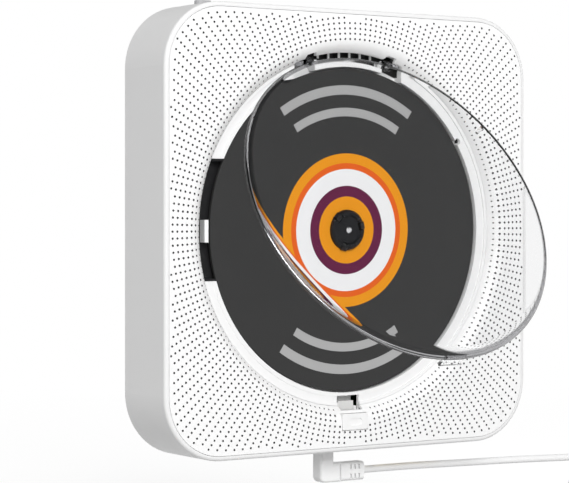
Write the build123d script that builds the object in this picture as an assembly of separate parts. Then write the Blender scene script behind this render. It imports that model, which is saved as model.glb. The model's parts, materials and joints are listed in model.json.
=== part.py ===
from build123d import *
from math import atan2, ceil, cos, pi, radians, sin, sqrt, tan
import os

# A wall-hung disc player: square white case with rounded corners, a round well for the disc in
# its front, a clear lid hinged at the top of the well, a disc drive inside and a low-voltage cord.
#
# Everything is drawn in millimetres as seen from the front: x to the right, y up and z out of the
# wall, with z = 0 at the wall. Each piece is stood up when it is written: front to -Y, up to +Z.
# "Depth" is the distance behind the flat front face.

# ---- case ----
BORDER_W = 10.0           # flat border between the flare and the case's edge
CASE_CORNER_R = 23.6
CASE_DEPTH = 29.0
CASE_WALL = 1.7
FRONT_EDGE_R = 1.2
BACK_EDGE_R = 1.0
COVER_T = 2.0             # rear cover plate
PANEL_T = 2.0             # front grille panel
SEAM = 0.15               # gap round the front panel and the rear cover
LEDGE_W = 1.6             # ledges inside the case that the panel and the cover rest on
LEDGE_T = 1.2
BOSS_R = 3.2
BOSS_REACH = 3.1          # boss axis to the inside of the case wall
BOSS_SPREAD = 38.0        # boss to the middle of its side
BOSS_H = 14.0
SCREW_R = 1.2
SCREW_HEAD_R = 2.3
SCREW_HEAD_T = 1.2
SCREW_L = 9.0
FIT = 0.1                 # clearance round screws, posts and plugs

# ---- disc and its well ----
DISC_R = 60.0
DISC_T = 1.2
DISC_HOLE_R = 7.5
DISC_DEPTH = 5.6          # front of the disc behind the front face
WELL_GAP = 0.6            # round the disc
WELL_WALL = 1.4
WELL_FLOOR_DEPTH = 9.0
WELL_FLOOR_T = 1.5
LEDGE_DEPTH = 4.6         # flat ring round the disc
RING_W = 1.6
GROOVE_DEPTH = 4.8        # groove outside the ring, where the lid's rim sits
GROOVE_GAP = 1.1          # outside the lid's rim
RIM_SHELF_T = 1.2
FLANGE_W = 5.7            # the tray's flange, from the groove outwards
FLARE_W = 7.7             # from the groove to where the flare meets the flat front
FLARE_ARC_R = 7.0
FLARE_SWEEP = 66.0        # degrees of arc in the flare
FLARE_T = 1.6

# ---- lid ----
LID_DEPTH = 1.8           # its front face behind the case's front when shut
LID_T = 1.4
LID_RIM_T = 1.0
LID_RIM_H = 2.7           # front face to the end of the rim
LID_EDGE_R = 0.8
LID_OPEN = 31.0           # degrees, as held open by its springs
HINGE_IN = 1.4            # hinge axis inside the lid's edge
HINGE_DEPTH = 6.0
HINGE_PIN_R = 0.8
HINGE_RUN = 0.05
KNUCKLE_R = 2.2
ARM_IN = 16.4
ARM_T = 3.2
ARM_HALF = 1.6            # half the arm's height at the hinge axis
ARM_TOP = 0.6             # the arm's upper edge above the hinge axis
LUG_T = 1.6
LUG_IN = 13.6
LUG_OUT = 24.4
LUG_R = 1.4
EAR_DOWN = 5.4            # ears that hold the pins, below and above the hinge axis
EAR_UP = 2.4
NOTCH_ROOM = 4.4          # outside the lid's edge, for the arms
SLOT_ROOM = 3.0           # outside the lid's edge, for the top of the open lid
RIB_PITCH = 4.8
RIB_T = 0.8
RIB_COUNT = 6
RIB_DEPTH = 7.0
POCKET_DEPTH = 9.6
SPRING_WIRE = 0.5
SPRING_R = 1.3
SPRING_TURNS = 5
SPRING_PITCH = 0.62
SPRING_LEG = 1.25

# ---- lid latch and open button ----
HOOK_W = 8.8
HOOK_T = 1.2
HOOK_END_DEPTH = 9.0
HOOK_BARB = 0.7
HOOK_ROOM = 0.6           # at each side of the hook
HOOK_GAP = 0.2            # behind it
HOOK_IN = 0.2             # its outer face inside the lid's edge
HOOK_LEAD = 1.2           # height of its slanted tip
HOOK_CATCH = 1.8          # tip to its catching face
BUTTON_W = 11.6
BUTTON_H = 6.1
BUTTON_IN = 0.9           # its centre inside the flare's upper edge
BUTTON_PROUD = 0.4
BUTTON_T = 2.6
BUTTON_GAP = 0.15
BUTTON_TRAVEL = 1.2
DIMPLE_L = 6.0
DIMPLE_W = 2.6
DIMPLE_D = 0.35
LATCH_GAP = 0.12          # hook to latch
LATCH_T = 2.4
LATCH_W = 7.0

# ---- lid switch ----
SWITCH_ANGLE = 33.0       # round the disc's centre, from +x
SWITCH_HOLE_R = 1.25
SWITCH_PIN_R = 0.75
SWITCH_PIN_END = 7.6      # depth of the pin's end with the lid shut
SWITCH_BODY = 6.4
SWITCH_BODY_H = 5.0
PLUNGER_R = 1.0

# ---- finger recess at the left of the disc ----
RECESS_TOP = 26.0
RECESS_BOTTOM = -17.9
RECESS_ROOM = 0.7         # outside the groove
RECESS_WALL = 0.8
RECESS_FLOOR_DEPTH = 8.2
TAB_H = 8.1
TAB_T = 1.6

# ---- drive ----
HUB_PLAY = 0.15           # in the disc's hole
HUB_TOP_DEPTH = 3.7
PLATTER_R = 15.0
PLATTER_T = 1.8
PLATTER_BOSS_R = 4.0
CLIP_ANGLES = (135.0, 15.0, 255.0)
CLIP_W = 2.6
CLIP_OUT = 0.35           # how far a clip reaches past the disc's hole
SHAFT_R = 1.2
MOTOR_R = 12.0
MOTOR_H = 8.0
FRAME_Z = 11.0            # underside of the drive frame
FRAME_T = 2.2
FRAME_LEFT = -28.0
FRAME_ROOM = 8.3          # its right end to the case wall
FRAME_GAP = 1.1           # below it to the tray's posts
FRAME_RIM = 6.6           # above the lid switch
WINDOW_LEFT = 14.0
WINDOW_RIM = 4.0
WINDOW_HALF = 12.5
DAMPER_R = 4.0
DAMPER_H = 3.0
POST_R = 3.0
POST_PIN_R = 1.5
ROD_R = 1.2
ROD_Y = 17.5
ROD_Z = 8.6
ROD_BLOCK_L = 3.0
SLED_L = 16.0
SLED_HALF = 11.0
SLED_TOP = 15.2
SLED_WING_HALF = 20.5
SLED_IN = 23.5            # lens at the disc's first track
TRACK_EDGE = 3.5          # the disc's edge to the lens at its last track
LENS_HOLDER_R = 3.4
LENS_R = 2.0
LENS_GAP = 1.6            # lens to the disc
GEAR_MODULE = 0.5
GEAR_BACKLASH = 0.14
RACK_Y = 13.5             # pitch line of the rack
RACK_T = 2.0
RACK_Z = 13.6
DRIVE_TEETH = 12
WHEEL_TEETH = 48
PINION_TEETH = 10
GEAR_X = 14.0
PINION_ANGLE = 112.0      # motor pinion round the gear's axis
FEED_MOTOR_R = 7.0
FEED_MOTOR_H = 7.5

# ---- boards and sockets ----
BOARD_Z = 6.5
BOARD_T = 1.6
BOARD_HALF = 44.0
BOARD_CHIPS = [(-10, 12, 6), (12, 10, 4.5), (28, 16, 3.5), (-30, 10, 4)]   # x, down from the top, half size
BOARD_CANS = [(-20, 20), (-16, 20)]
BOARD_H = 35.5
BOARD_GAP = 0.8           # to the bottom wall
PLUG_X = -4.0
PLUG_Z = 14.0             # middle of the row of sockets, out from the wall
JACK_W = 9.0
JACK_L = 11.0
AUX_X = -22.0
AUX_R = 1.8
AUX_BODY_W = 7.0
USB_IN = 6.0              # its middle to the board's left end
USB_W = 12.4
USB_H = 4.8
USB_WALL = 0.5
WINDOW_X = 32.0           # display window in the bottom wall
WINDOW_L = 35.0
WINDOW_W = 18.0
WINDOW_Z = 14.5
MODULE_RIM = 3.0          # display inside the window's edge
MODULE_GAP = 0.4          # display to the board
MODULE_T = 3.2
POWER_IN = 23.0           # power button's middle to the case's left side
POWER_GAP = 15.0          # to the next button
TOP_BUTTON_PITCH = 12.5   # between the other four
TOP_BUTTONS = 4
TOP_BUTTON_L = 6.6
TOP_BUTTON_W = 4.2
TOP_BUTTON_H = 1.1        # proud of the case
TOP_BUTTON_Z = 17.0
TOP_BUTTON_TRAVEL = 0.6
SWITCH_CUBE = 4.5
SPEAKER_R = 15.0
SPEAKER_IN = 18.8         # its centre to the case wall
SPEAKER_RIM = 3.0
MAGNET_R = 8.0
KEYHOLE_SPREAD = 70.0     # between the two keyholes
KEYHOLE_UP = 30.0
KEYHOLE_R = 4.5
KEYHOLE_SLOT_R = 2.3
KEYHOLE_SLOT_L = 9.0
KEYHOLE_POCKET = 5.0
PAD_R = 5.0
PAD_T = 1.0
PAD_IN = 18.3             # pad centres to the case wall
SWITCH_BOARD_IN = 8.9     # back of the top buttons' board to the case wall
SWITCH_BOARD_LEFT = 7.0   # past the power button's middle
SWITCH_BOARD_RIGHT = 6.0  # past the last button's middle
SWITCH_BOARD_HALF = 8.0
STAND_LEFT = 4.0          # the board's two stands, from its ends
STAND_RIGHT = 11.5
VENT_ROWS = 5
VENT_X = 42.0
VENT_LOW = -50.0
VENT_PITCH = 5.0
VENT_L = 22.0
VENT_W = 1.6
TRAY_POST_ANGLES = (43.9, -28.1)
TRAY_POST_OUT = 2.5       # outside the tray's flange

# ---- cord ----
CORD_D = 2.8
BODY_W = 6.1              # moulded elbow plug, seen from below
BODY_DOWN = 12.9
ARM_H = 7.0               # height of its sideways leg
BARREL_R = 2.7
ARM_X = 6.2               # its end, from the socket's axis
RELIEF_L = 10.7
RELIEF_SLOTS = 3
RELIEF_PITCH = 1.9
COIL_IN_R = 10.7
COIL_STEP = 3.85
COIL_RISE = 3.3           # layer to layer
COIL_TURNS = 2            # in each layer
COIL_TAIL = 14.0          # straight end that clears the turns
TIE_W = 6.0
TIE_T = 1.2
TIE_GAP = 0.25
COIL_LAYERS = 4

# ---- worked out ----
FRONT_Z = CASE_DEPTH
WELL_R = DISC_R + WELL_GAP
RING_OUT = WELL_R + RING_W
LID_R = RING_OUT + LID_RIM_T
GROOVE_R = LID_R + GROOVE_GAP
FLANGE_R = GROOVE_R + FLANGE_W
FLARE_TOP_R = GROOVE_R + FLARE_W
CASE_W = 2 * (FLARE_TOP_R + BORDER_W)
HALF = CASE_W / 2
INNER = HALF - CASE_WALL
INNER_CORNER = CASE_CORNER_R - CASE_WALL
PANEL_BACK = FRONT_Z - PANEL_T
HINGE_UP = LID_R - HINGE_IN
BUTTON_DOWN = FLARE_TOP_R - BUTTON_IN
SWITCH_R = WELL_R + RING_W / 2
SWITCH_X = SWITCH_R * cos(radians(SWITCH_ANGLE))
SWITCH_Y = SWITCH_R * sin(radians(SWITCH_ANGLE))
RECESS_R = GROOVE_R + RECESS_ROOM
HUB_R = DISC_HOLE_R - HUB_PLAY
FRAME_RIGHT = INNER - FRAME_ROOM
FRAME_HIGH = SWITCH_Y + FRAME_RIM
WINDOW_RIGHT = FRAME_RIGHT - WINDOW_RIM
SLED_TRAVEL = DISC_R - TRACK_EDGE - SLED_IN
BOARD_LOW = -INNER + BOARD_GAP
BOARD_TOP = BOARD_LOW + BOARD_H
PAD_OUT = INNER - PAD_IN
SWITCH_BOARD_Y = INNER - SWITCH_BOARD_IN
SWITCH_FACE = SWITCH_BOARD_Y + BOARD_T
USB_X = -BOARD_HALF + USB_IN
TOP_BUTTON_X = [-HALF + POWER_IN] + [
    -HALF + POWER_IN + POWER_GAP + TOP_BUTTON_PITCH * k for k in range(TOP_BUTTONS)
]
SWITCH_BOARD_X = (TOP_BUTTON_X[0] - SWITCH_BOARD_LEFT, TOP_BUTTON_X[-1] + SWITCH_BOARD_RIGHT)
STAND_X = (SWITCH_BOARD_X[0] + STAND_LEFT, SWITCH_BOARD_X[1] - STAND_RIGHT)
CONE_R = SPEAKER_R - SPEAKER_RIM
SPEAKERS = [(side * (INNER - SPEAKER_IN), -INNER + SPEAKER_IN) for side in (-1, 1)]
BEYOND = 5.0               # how far a cut runs past what it cuts


def out(depth):
    """Height above the wall of a place so far behind the front face."""
    return FRONT_Z - depth


def square(half, corner):
    return RectangleRounded(2 * half, 2 * half, corner)


def slab(face, low, high):
    """The face, raised from z = low to z = high."""
    return extrude(Pos(0, 0, low) * face, high - low)


def rod(x, y, r, low, high):
    return slab(Pos(x, y) * Circle(r), low, high)


def box(x0, x1, y0, y1, z0, z1):
    return Pos((x0 + x1) / 2, (y0 + y1) / 2, (z0 + z1) / 2) * Box(x1 - x0, y1 - y0, z1 - z0)


def turned(points):
    """A ring about the z axis from its half section, given as (radius, z)."""
    outline = Polyline(*[(r, 0, z) for r, z in points], close=True)
    return revolve(make_face(outline), Axis.Z)


def across(x, y, z, r, length):
    """A rod along x, from x to x + length."""
    return Pos(x, y, z) * Rot(0, 90, 0) * Cylinder(r, length, align=(Align.CENTER, Align.CENTER, Align.MIN))


def upright(x, z, r, low, high):
    """A rod along y, from y = low to y = high."""
    return Pos(x, low, z) * Rot(-90, 0, 0) * Cylinder(
        r, high - low, align=(Align.CENTER, Align.CENTER, Align.MIN)
    )


# ---- positions that several pieces share ----
BOSSES = [
    (side * (INNER - BOSS_REACH), along) for side in (-1, 1) for along in (-BOSS_SPREAD, BOSS_SPREAD)
] + [(along, INNER - BOSS_REACH) for along in (-BOSS_SPREAD, BOSS_SPREAD)]
TRAY_POST_REACH = FLANGE_R + TRAY_POST_OUT
TRAY_POSTS = [
    (side * TRAY_POST_REACH * cos(radians(angle)), TRAY_POST_REACH * sin(radians(angle)))
    for side in (-1, 1) for angle in TRAY_POST_ANGLES
]
FRAME_LOW = min(y for x, y in TRAY_POSTS) + POST_R + FRAME_GAP
FRAME_POSTS = [
    (x, y) for x in (FRAME_LEFT + 6, FRAME_RIGHT - 7) for y in (FRAME_LOW + 4.5, FRAME_HIGH - 14)
]
BOARD_POSTS = [(x, y) for x in (-BOARD_HALF + 4, BOARD_HALF - 4) for y in (BOARD_TOP - 4, BOARD_LOW + 9.5)]
FLANGE_TOP = out(LEDGE_DEPTH + 0.35)
FLARE_C = (FLARE_TOP_R, FRONT_Z - FLARE_ARC_R)
FLARE_END_R = FLARE_TOP_R - FLARE_ARC_R * sin(radians(FLARE_SWEEP))
HINGE_Z = out(HINGE_DEPTH)
DISC_Z = out(DISC_DEPTH)
DISC_BACK = DISC_Z - DISC_T
FLOOR_TOP = out(WELL_FLOOR_DEPTH)
FLOOR_BACK = FLOOR_TOP - WELL_FLOOR_T
GEAR_Y = RACK_Y + GEAR_MODULE * DRIVE_TEETH / 2
PINION_REACH = GEAR_MODULE * (WHEEL_TEETH + PINION_TEETH) / 2
PINION_X = GEAR_X + PINION_REACH * cos(radians(PINION_ANGLE))
PINION_Y = GEAR_Y + PINION_REACH * sin(radians(PINION_ANGLE))
GEAR_Z = RACK_Z
WHEEL_Z = RACK_Z + RACK_T + 0.2
WHEEL_T = 1.4


CATCH_Z = out(HOOK_END_DEPTH) + HOOK_CATCH      # the hook's catching face with the lid shut
LATCH_Z = CATCH_Z + LATCH_GAP
LATCH_LIP = -LID_R + HOOK_IN - HOOK_BARB - LATCH_GAP  # the lip's edge, y
LATCH_LOW = -BUTTON_DOWN - 4.9
STEM_HALF = 1.2
STEM_TIP_Z = LATCH_Z - LATCH_T + 1.4
CHANNEL_END = LATCH_LOW - 3.3                     # lower end wall of the latch's channel
LATCH_TOP = LATCH_LIP - 2.4


# ---- case ----
def main_housing():
    """Open frame of side walls with ledges for the panel and the cover, and screw bosses."""
    shell = slab(square(HALF, CASE_CORNER_R), 0, FRONT_Z)
    shell = fillet(shell.edges().group_by(Axis.Z)[-1], FRONT_EDGE_R)
    shell = fillet(shell.edges().group_by(Axis.Z)[0], BACK_EDGE_R)
    bore = square(INNER, INNER_CORNER)
    neck = square(INNER - LEDGE_W, INNER_CORNER - LEDGE_W)
    shell -= slab(neck, -1, FRONT_Z + 1)
    shell -= slab(bore, -1, COVER_T)
    shell -= slab(bore, COVER_T + LEDGE_T, PANEL_BACK - LEDGE_T)
    shell -= slab(bore, PANEL_BACK, FRONT_Z + 1)
    inside = slab(square(INNER + CASE_WALL / 2, CASE_CORNER_R - CASE_WALL / 2), COVER_T, BOSS_H)
    for x, y in BOSSES:
        shell += rod(x, y, BOSS_R, COVER_T, BOSS_H) & inside
        shell -= rod(x, y, SCREW_R, COVER_T - 1, COVER_T + SCREW_L - COVER_T + SCREW_HEAD_T + 1)
    low, high = -HALF - 1, -INNER + LEDGE_W + 0.1
    shell -= upright(PLUG_X, PLUG_Z, BARREL_R + FIT, low, high)
    shell -= upright(AUX_X, PLUG_Z, AUX_R + 1.2, low, high)
    shell -= box(USB_X - USB_W / 2, USB_X + USB_W / 2, low, high, PLUG_Z - USB_H / 2, PLUG_Z + USB_H / 2)
    shell -= display_pill(WINDOW_L / 2, WINDOW_W / 2, low, -INNER + 0.1)
    for x in TOP_BUTTON_X:
        shell -= button_pill(x, BUTTON_GAP, INNER - 2, HALF + 1)
    return shell


def display_pill(half_l, r, low, high):
    """A capsule-ended bar along x, cut through from y = low to y = high."""
    face = Plane((WINDOW_X, low, WINDOW_Z), x_dir=(1, 0, 0), z_dir=(0, 1, 0)) * SlotOverall(2 * half_l, 2 * r)
    return extrude(face, high - low)


def button_pill(x, extra, low, high):
    face = Plane((x, low, TOP_BUTTON_Z), x_dir=(1, 0, 0), z_dir=(0, 1, 0)) * SlotOverall(
        TOP_BUTTON_L + 2 * extra, TOP_BUTTON_W + 2 * extra
    )
    return extrude(face, high - low)


def rear_cover():
    """Back plate with keyholes, vents and the posts that carry the tray, the drive and the board."""
    plate = slab(square(INNER - SEAM, INNER_CORNER - SEAM), 0, COVER_T)
    for x, y in BOSSES:
        plate -= rod(x, y, SCREW_R + FIT, -1, COVER_T + 1)
        plate -= rod(x, y, SCREW_HEAD_R + FIT, -1, SCREW_HEAD_T)
    for x in (-KEYHOLE_SPREAD / 2, KEYHOLE_SPREAD / 2):
        wall = 1.5
        pocket = box(
            x - KEYHOLE_R - wall, x + KEYHOLE_R + wall,
            KEYHOLE_UP - KEYHOLE_R - wall, KEYHOLE_UP + KEYHOLE_SLOT_L + KEYHOLE_R + wall,
            COVER_T, COVER_T + KEYHOLE_POCKET + wall,
        )
        room = box(
            x - KEYHOLE_R, x + KEYHOLE_R,
            KEYHOLE_UP - KEYHOLE_R, KEYHOLE_UP + KEYHOLE_SLOT_L + KEYHOLE_R,
            COVER_T, COVER_T + KEYHOLE_POCKET,
        )
        plate += pocket
        plate -= room
        plate -= rod(x, KEYHOLE_UP, KEYHOLE_R, -1, COVER_T + 0.1)
        plate -= box(
            x - KEYHOLE_SLOT_R, x + KEYHOLE_SLOT_R,
            KEYHOLE_UP, KEYHOLE_UP + KEYHOLE_SLOT_L, -1, COVER_T + 0.1,
        )
        plate -= rod(x, KEYHOLE_UP + KEYHOLE_SLOT_L, KEYHOLE_SLOT_R, -1, COVER_T + 0.1)
    for side in (-1, 1):
        for row in range(VENT_ROWS):
            x, y = side * VENT_X, VENT_LOW + VENT_PITCH * row
            plate -= box(x - VENT_L / 2, x + VENT_L / 2, y - VENT_W / 2, y + VENT_W / 2, -1, COVER_T + 1)
    for x, y in TRAY_POSTS:
        plate += rod(x, y, POST_R, COVER_T, FLANGE_TOP - RIM_SHELF_T)
        plate -= rod(x, y, SCREW_R, FLANGE_TOP - RIM_SHELF_T - SCREW_L, FLANGE_TOP)
    for x, y in FRAME_POSTS:
        plate += rod(x, y, DAMPER_R - 0.6, COVER_T, FRAME_Z - DAMPER_H)
        plate += rod(x, y, POST_PIN_R, FRAME_Z - DAMPER_H, FRAME_Z + FRAME_T + 1)
    for x, y in BOARD_POSTS:
        plate += rod(x, y, POST_R, COVER_T, BOARD_Z)
    for x in STAND_X:
        plate += box(x - 1.5, x + 1.5, SWITCH_BOARD_Y - 1.3, SWITCH_BOARD_Y, COVER_T, 22)
    for x in (-PAD_OUT, PAD_OUT):
        for y in (-PAD_OUT, PAD_OUT):
            plate -= rod(x, y, PAD_R + FIT, -1, PAD_T)
    return plate


def wall_pads():
    return [rod(x, y, PAD_R, 0, PAD_T) for x in (-PAD_OUT, PAD_OUT) for y in (-PAD_OUT, PAD_OUT)]


def cover_screws():
    return [screw(x, y, 0.1, 1) for x, y in BOSSES]


def screw(x, y, base, way):
    """A pan-head screw whose head starts at z = base and whose shank points along way * z."""
    head = rod(x, y, SCREW_HEAD_R, *sorted((base, base + way * (SCREW_HEAD_T - 0.1))))
    head -= box(x - SCREW_HEAD_R, x + SCREW_HEAD_R, y - 0.3, y + 0.3, *sorted((base - way, base + way * 0.5)))
    shank = rod(x, y, SCREW_R - 0.02, *sorted((base + way * 1.0, base + way * SCREW_L)))
    return head + shank


def flare_profile():
    """Half section of the panel's flare: from the flat front down to the ring round the disc."""
    cx, cz = FLARE_C
    mid, end = radians(FLARE_SWEEP / 2), radians(FLARE_SWEEP)
    inner = FLARE_ARC_R - FLARE_T

    def on(r, a):
        return (cx - r * sin(a), 0, cz + r * cos(a))

    edges = [
        Line((cx + 2, 0, FRONT_Z), on(FLARE_ARC_R, 0)),
        ThreePointArc(on(FLARE_ARC_R, 0), on(FLARE_ARC_R, mid), on(FLARE_ARC_R, end)),
        Line(on(FLARE_ARC_R, end), on(inner, end)),
        ThreePointArc(on(inner, end), on(inner, mid), on(inner, 0)),
        Line(on(inner, 0), (cx + 2, 0, on(inner, 0)[2])),
        Line((cx + 2, 0, on(inner, 0)[2]), (cx + 2, 0, FRONT_Z)),
    ]
    return make_face(Wire(edges))


def front_grille():
    """Flat front panel that flares down into the disc well, with the button's opening."""
    panel = slab(square(INNER - SEAM, INNER_CORNER - SEAM), PANEL_BACK, FRONT_Z)
    panel -= rod(0, 0, FLARE_TOP_R + 1, PANEL_BACK - 1, FRONT_Z + 1)
    panel += revolve(flare_profile(), Axis.Z)
    half_w, half_h = BUTTON_W / 2 + BUTTON_GAP, BUTTON_H / 2 + BUTTON_GAP
    panel -= box(-half_w, half_w, -BUTTON_DOWN - half_h, -BUTTON_DOWN + half_h, PANEL_BACK - 3, FRONT_Z + 1)
    low = out(WELL_FLOOR_DEPTH + BEYOND)
    top = FLANGE_R + BEYOND
    slot = rod(0, 0, LID_R + SLOT_ROOM, low, FRONT_Z)
    panel -= slot & box(-LUG_OUT, LUG_OUT, HINGE_UP - 12, top, low, FRONT_Z)
    for side in (-1, 1):
        x0, x1 = sorted((side * (ARM_IN - 0.6), side * (ARM_IN + ARM_T + 0.6)))
        notch = rod(0, 0, LID_R + NOTCH_ROOM, low, FRONT_Z)
        panel -= notch & box(x0, x1, HINGE_UP - 12, top, low, FRONT_Z)
    panel -= box(-HOOK_W / 2 - HOOK_ROOM, HOOK_W / 2 + HOOK_ROOM, -LID_R - 3.4, -WELL_R, low, FRONT_Z)
    return panel


# ---- well tray ----
def disc_tray():
    """Round tray behind the panel: ring and groove, wall, floor, hinge pocket, recess and latch gaps."""
    tray = turned([
        (WELL_R, FLOOR_TOP), (WELL_R, out(LEDGE_DEPTH)), (RING_OUT, out(LEDGE_DEPTH)),
        (RING_OUT, out(GROOVE_DEPTH)), (GROOVE_R, out(GROOVE_DEPTH)), (GROOVE_R, out(LEDGE_DEPTH - 0.4)),
        (FLARE_END_R - 0.1, out(LEDGE_DEPTH - 0.4)), (FLARE_END_R - 0.1, FLANGE_TOP),
        (FLANGE_R, FLANGE_TOP), (FLANGE_R, FLANGE_TOP - RIM_SHELF_T),
        (WELL_R + WELL_WALL, FLANGE_TOP - RIM_SHELF_T), (WELL_R + WELL_WALL, FLOOR_BACK),
        (PLATTER_R + 2, FLOOR_BACK), (PLATTER_R + 2, FLOOR_TOP),
    ])
    for x, y in TRAY_POSTS:
        tray += rod(x, y, POST_R + 1.5, FLANGE_TOP - RIM_SHELF_T, FLANGE_TOP)
        tray -= rod(x, y, SCREW_R + FIT, FLANGE_TOP - RIM_SHELF_T - 1, FLANGE_TOP + 1)
    tray -= box(SLED_IN - LENS_HOLDER_R - 1.2, WELL_R - 0.4, -6, 6, FLOOR_BACK - 1, FLOOR_TOP + 1)
    far, near = FLANGE_R + BEYOND, WELL_R - 10
    gap = box(-far, -near, RECESS_BOTTOM, RECESS_TOP, FLOOR_BACK - 1, FRONT_Z)
    gap &= rod(0, 0, RECESS_R + RECESS_WALL, FLOOR_BACK - 1, FRONT_Z)
    tray -= gap - rod(0, 0, DISC_R - 2, FLOOR_BACK - 2, FRONT_Z + 1)
    pocket = slab(Circle(FLANGE_R) - Circle(RING_OUT), FLOOR_BACK, FRONT_Z)
    tray -= pocket & box(-LUG_OUT, LUG_OUT, near, far, FLOOR_BACK, FRONT_Z)
    for side in (-1, 1):
        low, high = sorted((side * (LUG_IN + LUG_T), side * LUG_OUT))
        tray -= box(low, high, HINGE_UP - 8.3, far, FLOOR_TOP, FRONT_Z)
    pocket_wall = box(-LUG_OUT - LUG_T, LUG_OUT + LUG_T, near, far, FLOOR_BACK, FLANGE_TOP)
    tray += slab(Circle(FLANGE_R) - Circle(WELL_R + 0.2), FLOOR_BACK, out(POCKET_DEPTH)) & pocket_wall
    for side in (-1, 1):
        for edge in (LUG_IN, LUG_OUT):
            low, high = sorted((side * edge, side * (edge + LUG_T)))
            if edge == LUG_OUT:
                tray += box(low, high, HINGE_UP - EAR_DOWN, HINGE_UP + EAR_UP, FLOOR_BACK, FLANGE_TOP)
            else:
                tray += box(low, high, HINGE_UP - LUG_R, HINGE_UP + LUG_R, FLOOR_BACK, HINGE_Z)
                tray += across(low, HINGE_UP, HINGE_Z, LUG_R, LUG_T)
            tray -= across(low - 0.01, HINGE_UP, HINGE_Z, HINGE_PIN_R - 0.01, LUG_T + 0.02)
    first = -RIB_PITCH * (RIB_COUNT - 1) / 2
    for k in range(RIB_COUNT):
        x = first + k * RIB_PITCH
        tray += box(x - RIB_T / 2, x + RIB_T / 2, RING_OUT + 1.6, GROOVE_R + 3.3, FLOOR_BACK, out(RIB_DEPTH))
    tray += slab(Circle(FLANGE_R) - Circle(FLANGE_R - WELL_WALL), FLOOR_BACK, FLANGE_TOP) & pocket_wall
    half, back = HOOK_W / 2 + HOOK_ROOM, LID_R - HOOK_IN - HOOK_T - HOOK_GAP
    tray -= box(-half, half, -far, -back, FLOOR_BACK - 1, FRONT_Z)
    half, floor = LATCH_W / 2 + 0.15, LATCH_Z - LATCH_T - 0.12
    channel = box(-half - 1.2, half + 1.2, CHANNEL_END - 0.8, -WELL_R - 0.8, floor - 0.7, LATCH_Z + 0.9)
    channel -= box(-half, half, CHANNEL_END, -WELL_R, floor, FRONT_Z)
    channel -= box(-half - 2, half + 2, LATCH_LIP - 2, -back, floor, FRONT_Z)
    tray += channel
    return tray - rod(SWITCH_X, SWITCH_Y, SWITCH_HOLE_R, FLOOR_BACK - 1, FRONT_Z)


def tray_screws():
    return [screw(x, y, FLANGE_TOP + SCREW_HEAD_T - 0.1, -1) for x, y in TRAY_POSTS]


def finger_recess():
    """Dark liner of the gap where a fingertip lifts the disc's edge."""
    outer = RECESS_R + RECESS_WALL - FIT
    low, high = out(RECESS_FLOOR_DEPTH) - RECESS_WALL, out(LEDGE_DEPTH)
    ring = slab(Circle(outer) - Circle(DISC_R - 1.8), low, high)
    far, edge = RECESS_R + BEYOND, FIT + RECESS_WALL
    ring &= box(-far, 0, RECESS_BOTTOM + FIT, RECESS_TOP - FIT, low, high)
    room = slab(Circle(RECESS_R), low + RECESS_WALL, high + 1)
    room &= box(-far, 0, RECESS_BOTTOM + edge, RECESS_TOP - edge, low, high + 1)
    ring -= slab(Circle(WELL_R + 0.1), DISC_BACK - 0.6, high + 1)
    return ring - room


def recess_tab():
    """Small white stop that stands in the recess beside the disc's edge."""
    x = -DISC_R - 1.0
    return box(x - TAB_T, x, -TAB_H / 2, TAB_H / 2, out(RECESS_FLOOR_DEPTH), out(DISC_DEPTH - 0.6))


# ---- lid ----
def opened(piece):
    """The piece swung about the hinge axis from shut to where the springs hold it."""
    return piece.rotate(Axis((0, HINGE_UP, HINGE_Z), (1, 0, 0)), -LID_OPEN)


def clear_lid():
    """Clear shallow cover with a rim, two hinge arms, a latch hook and the switch pin."""
    face_z, inner_z, end_z = out(LID_DEPTH), out(LID_DEPTH + LID_T), out(LID_DEPTH + LID_RIM_H)
    lid = turned([
        (0, inner_z), (LID_R - LID_RIM_T, inner_z), (LID_R - LID_RIM_T, end_z), (LID_R, end_z),
        (LID_R, face_z), (0, face_z),
    ])
    lid = fillet(lid.edges().filter_by(GeomType.CIRCLE).group_by(Axis.Z)[-1], LID_EDGE_R)
    for side in (-1, 1):
        x = side * (ARM_IN + ARM_T / 2)
        web = Polyline(
            (x - ARM_T / 2, HINGE_UP - ARM_HALF, HINGE_Z), (x - ARM_T / 2, HINGE_UP - ARM_HALF, inner_z + 0.2),
            (x - ARM_T / 2, HINGE_UP + ARM_TOP, inner_z + 0.2), (x - ARM_T / 2, HINGE_UP + ARM_HALF, HINGE_Z),
            close=True,
        )
        lid += extrude(make_face(web), ARM_T, dir=(1, 0, 0))
        lid += across(x - ARM_T / 2, HINGE_UP, HINGE_Z, KNUCKLE_R, ARM_T)
        lid -= across(x - ARM_T / 2 - 1, HINGE_UP, HINGE_Z, HINGE_PIN_R + HINGE_RUN, ARM_T + 2)
    left, edge, tip_z = -HOOK_W / 2, -LID_R + HOOK_IN, out(HOOK_END_DEPTH)
    hook = Polyline(
        (left, edge + HOOK_T, inner_z + 0.2), (left, edge + HOOK_T, tip_z), (left, edge, tip_z),
        (left, edge - HOOK_BARB, tip_z + HOOK_LEAD), (left, edge - HOOK_BARB, tip_z + HOOK_CATCH),
        (left, edge, tip_z + HOOK_CATCH), (left, edge, inner_z + 0.2), close=True,
    )
    lid += extrude(make_face(hook), HOOK_W, dir=(1, 0, 0))
    lid += rod(SWITCH_X, SWITCH_Y, SWITCH_PIN_R, out(SWITCH_PIN_END), inner_z + 0.1)
    return opened(lid)


def hinge_pins():
    length = LUG_OUT + LUG_T - LUG_IN
    return [
        across(-LUG_IN - length, HINGE_UP, HINGE_Z, HINGE_PIN_R, length),
        across(LUG_IN, HINGE_UP, HINGE_Z, HINGE_PIN_R, length),
    ]


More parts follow.
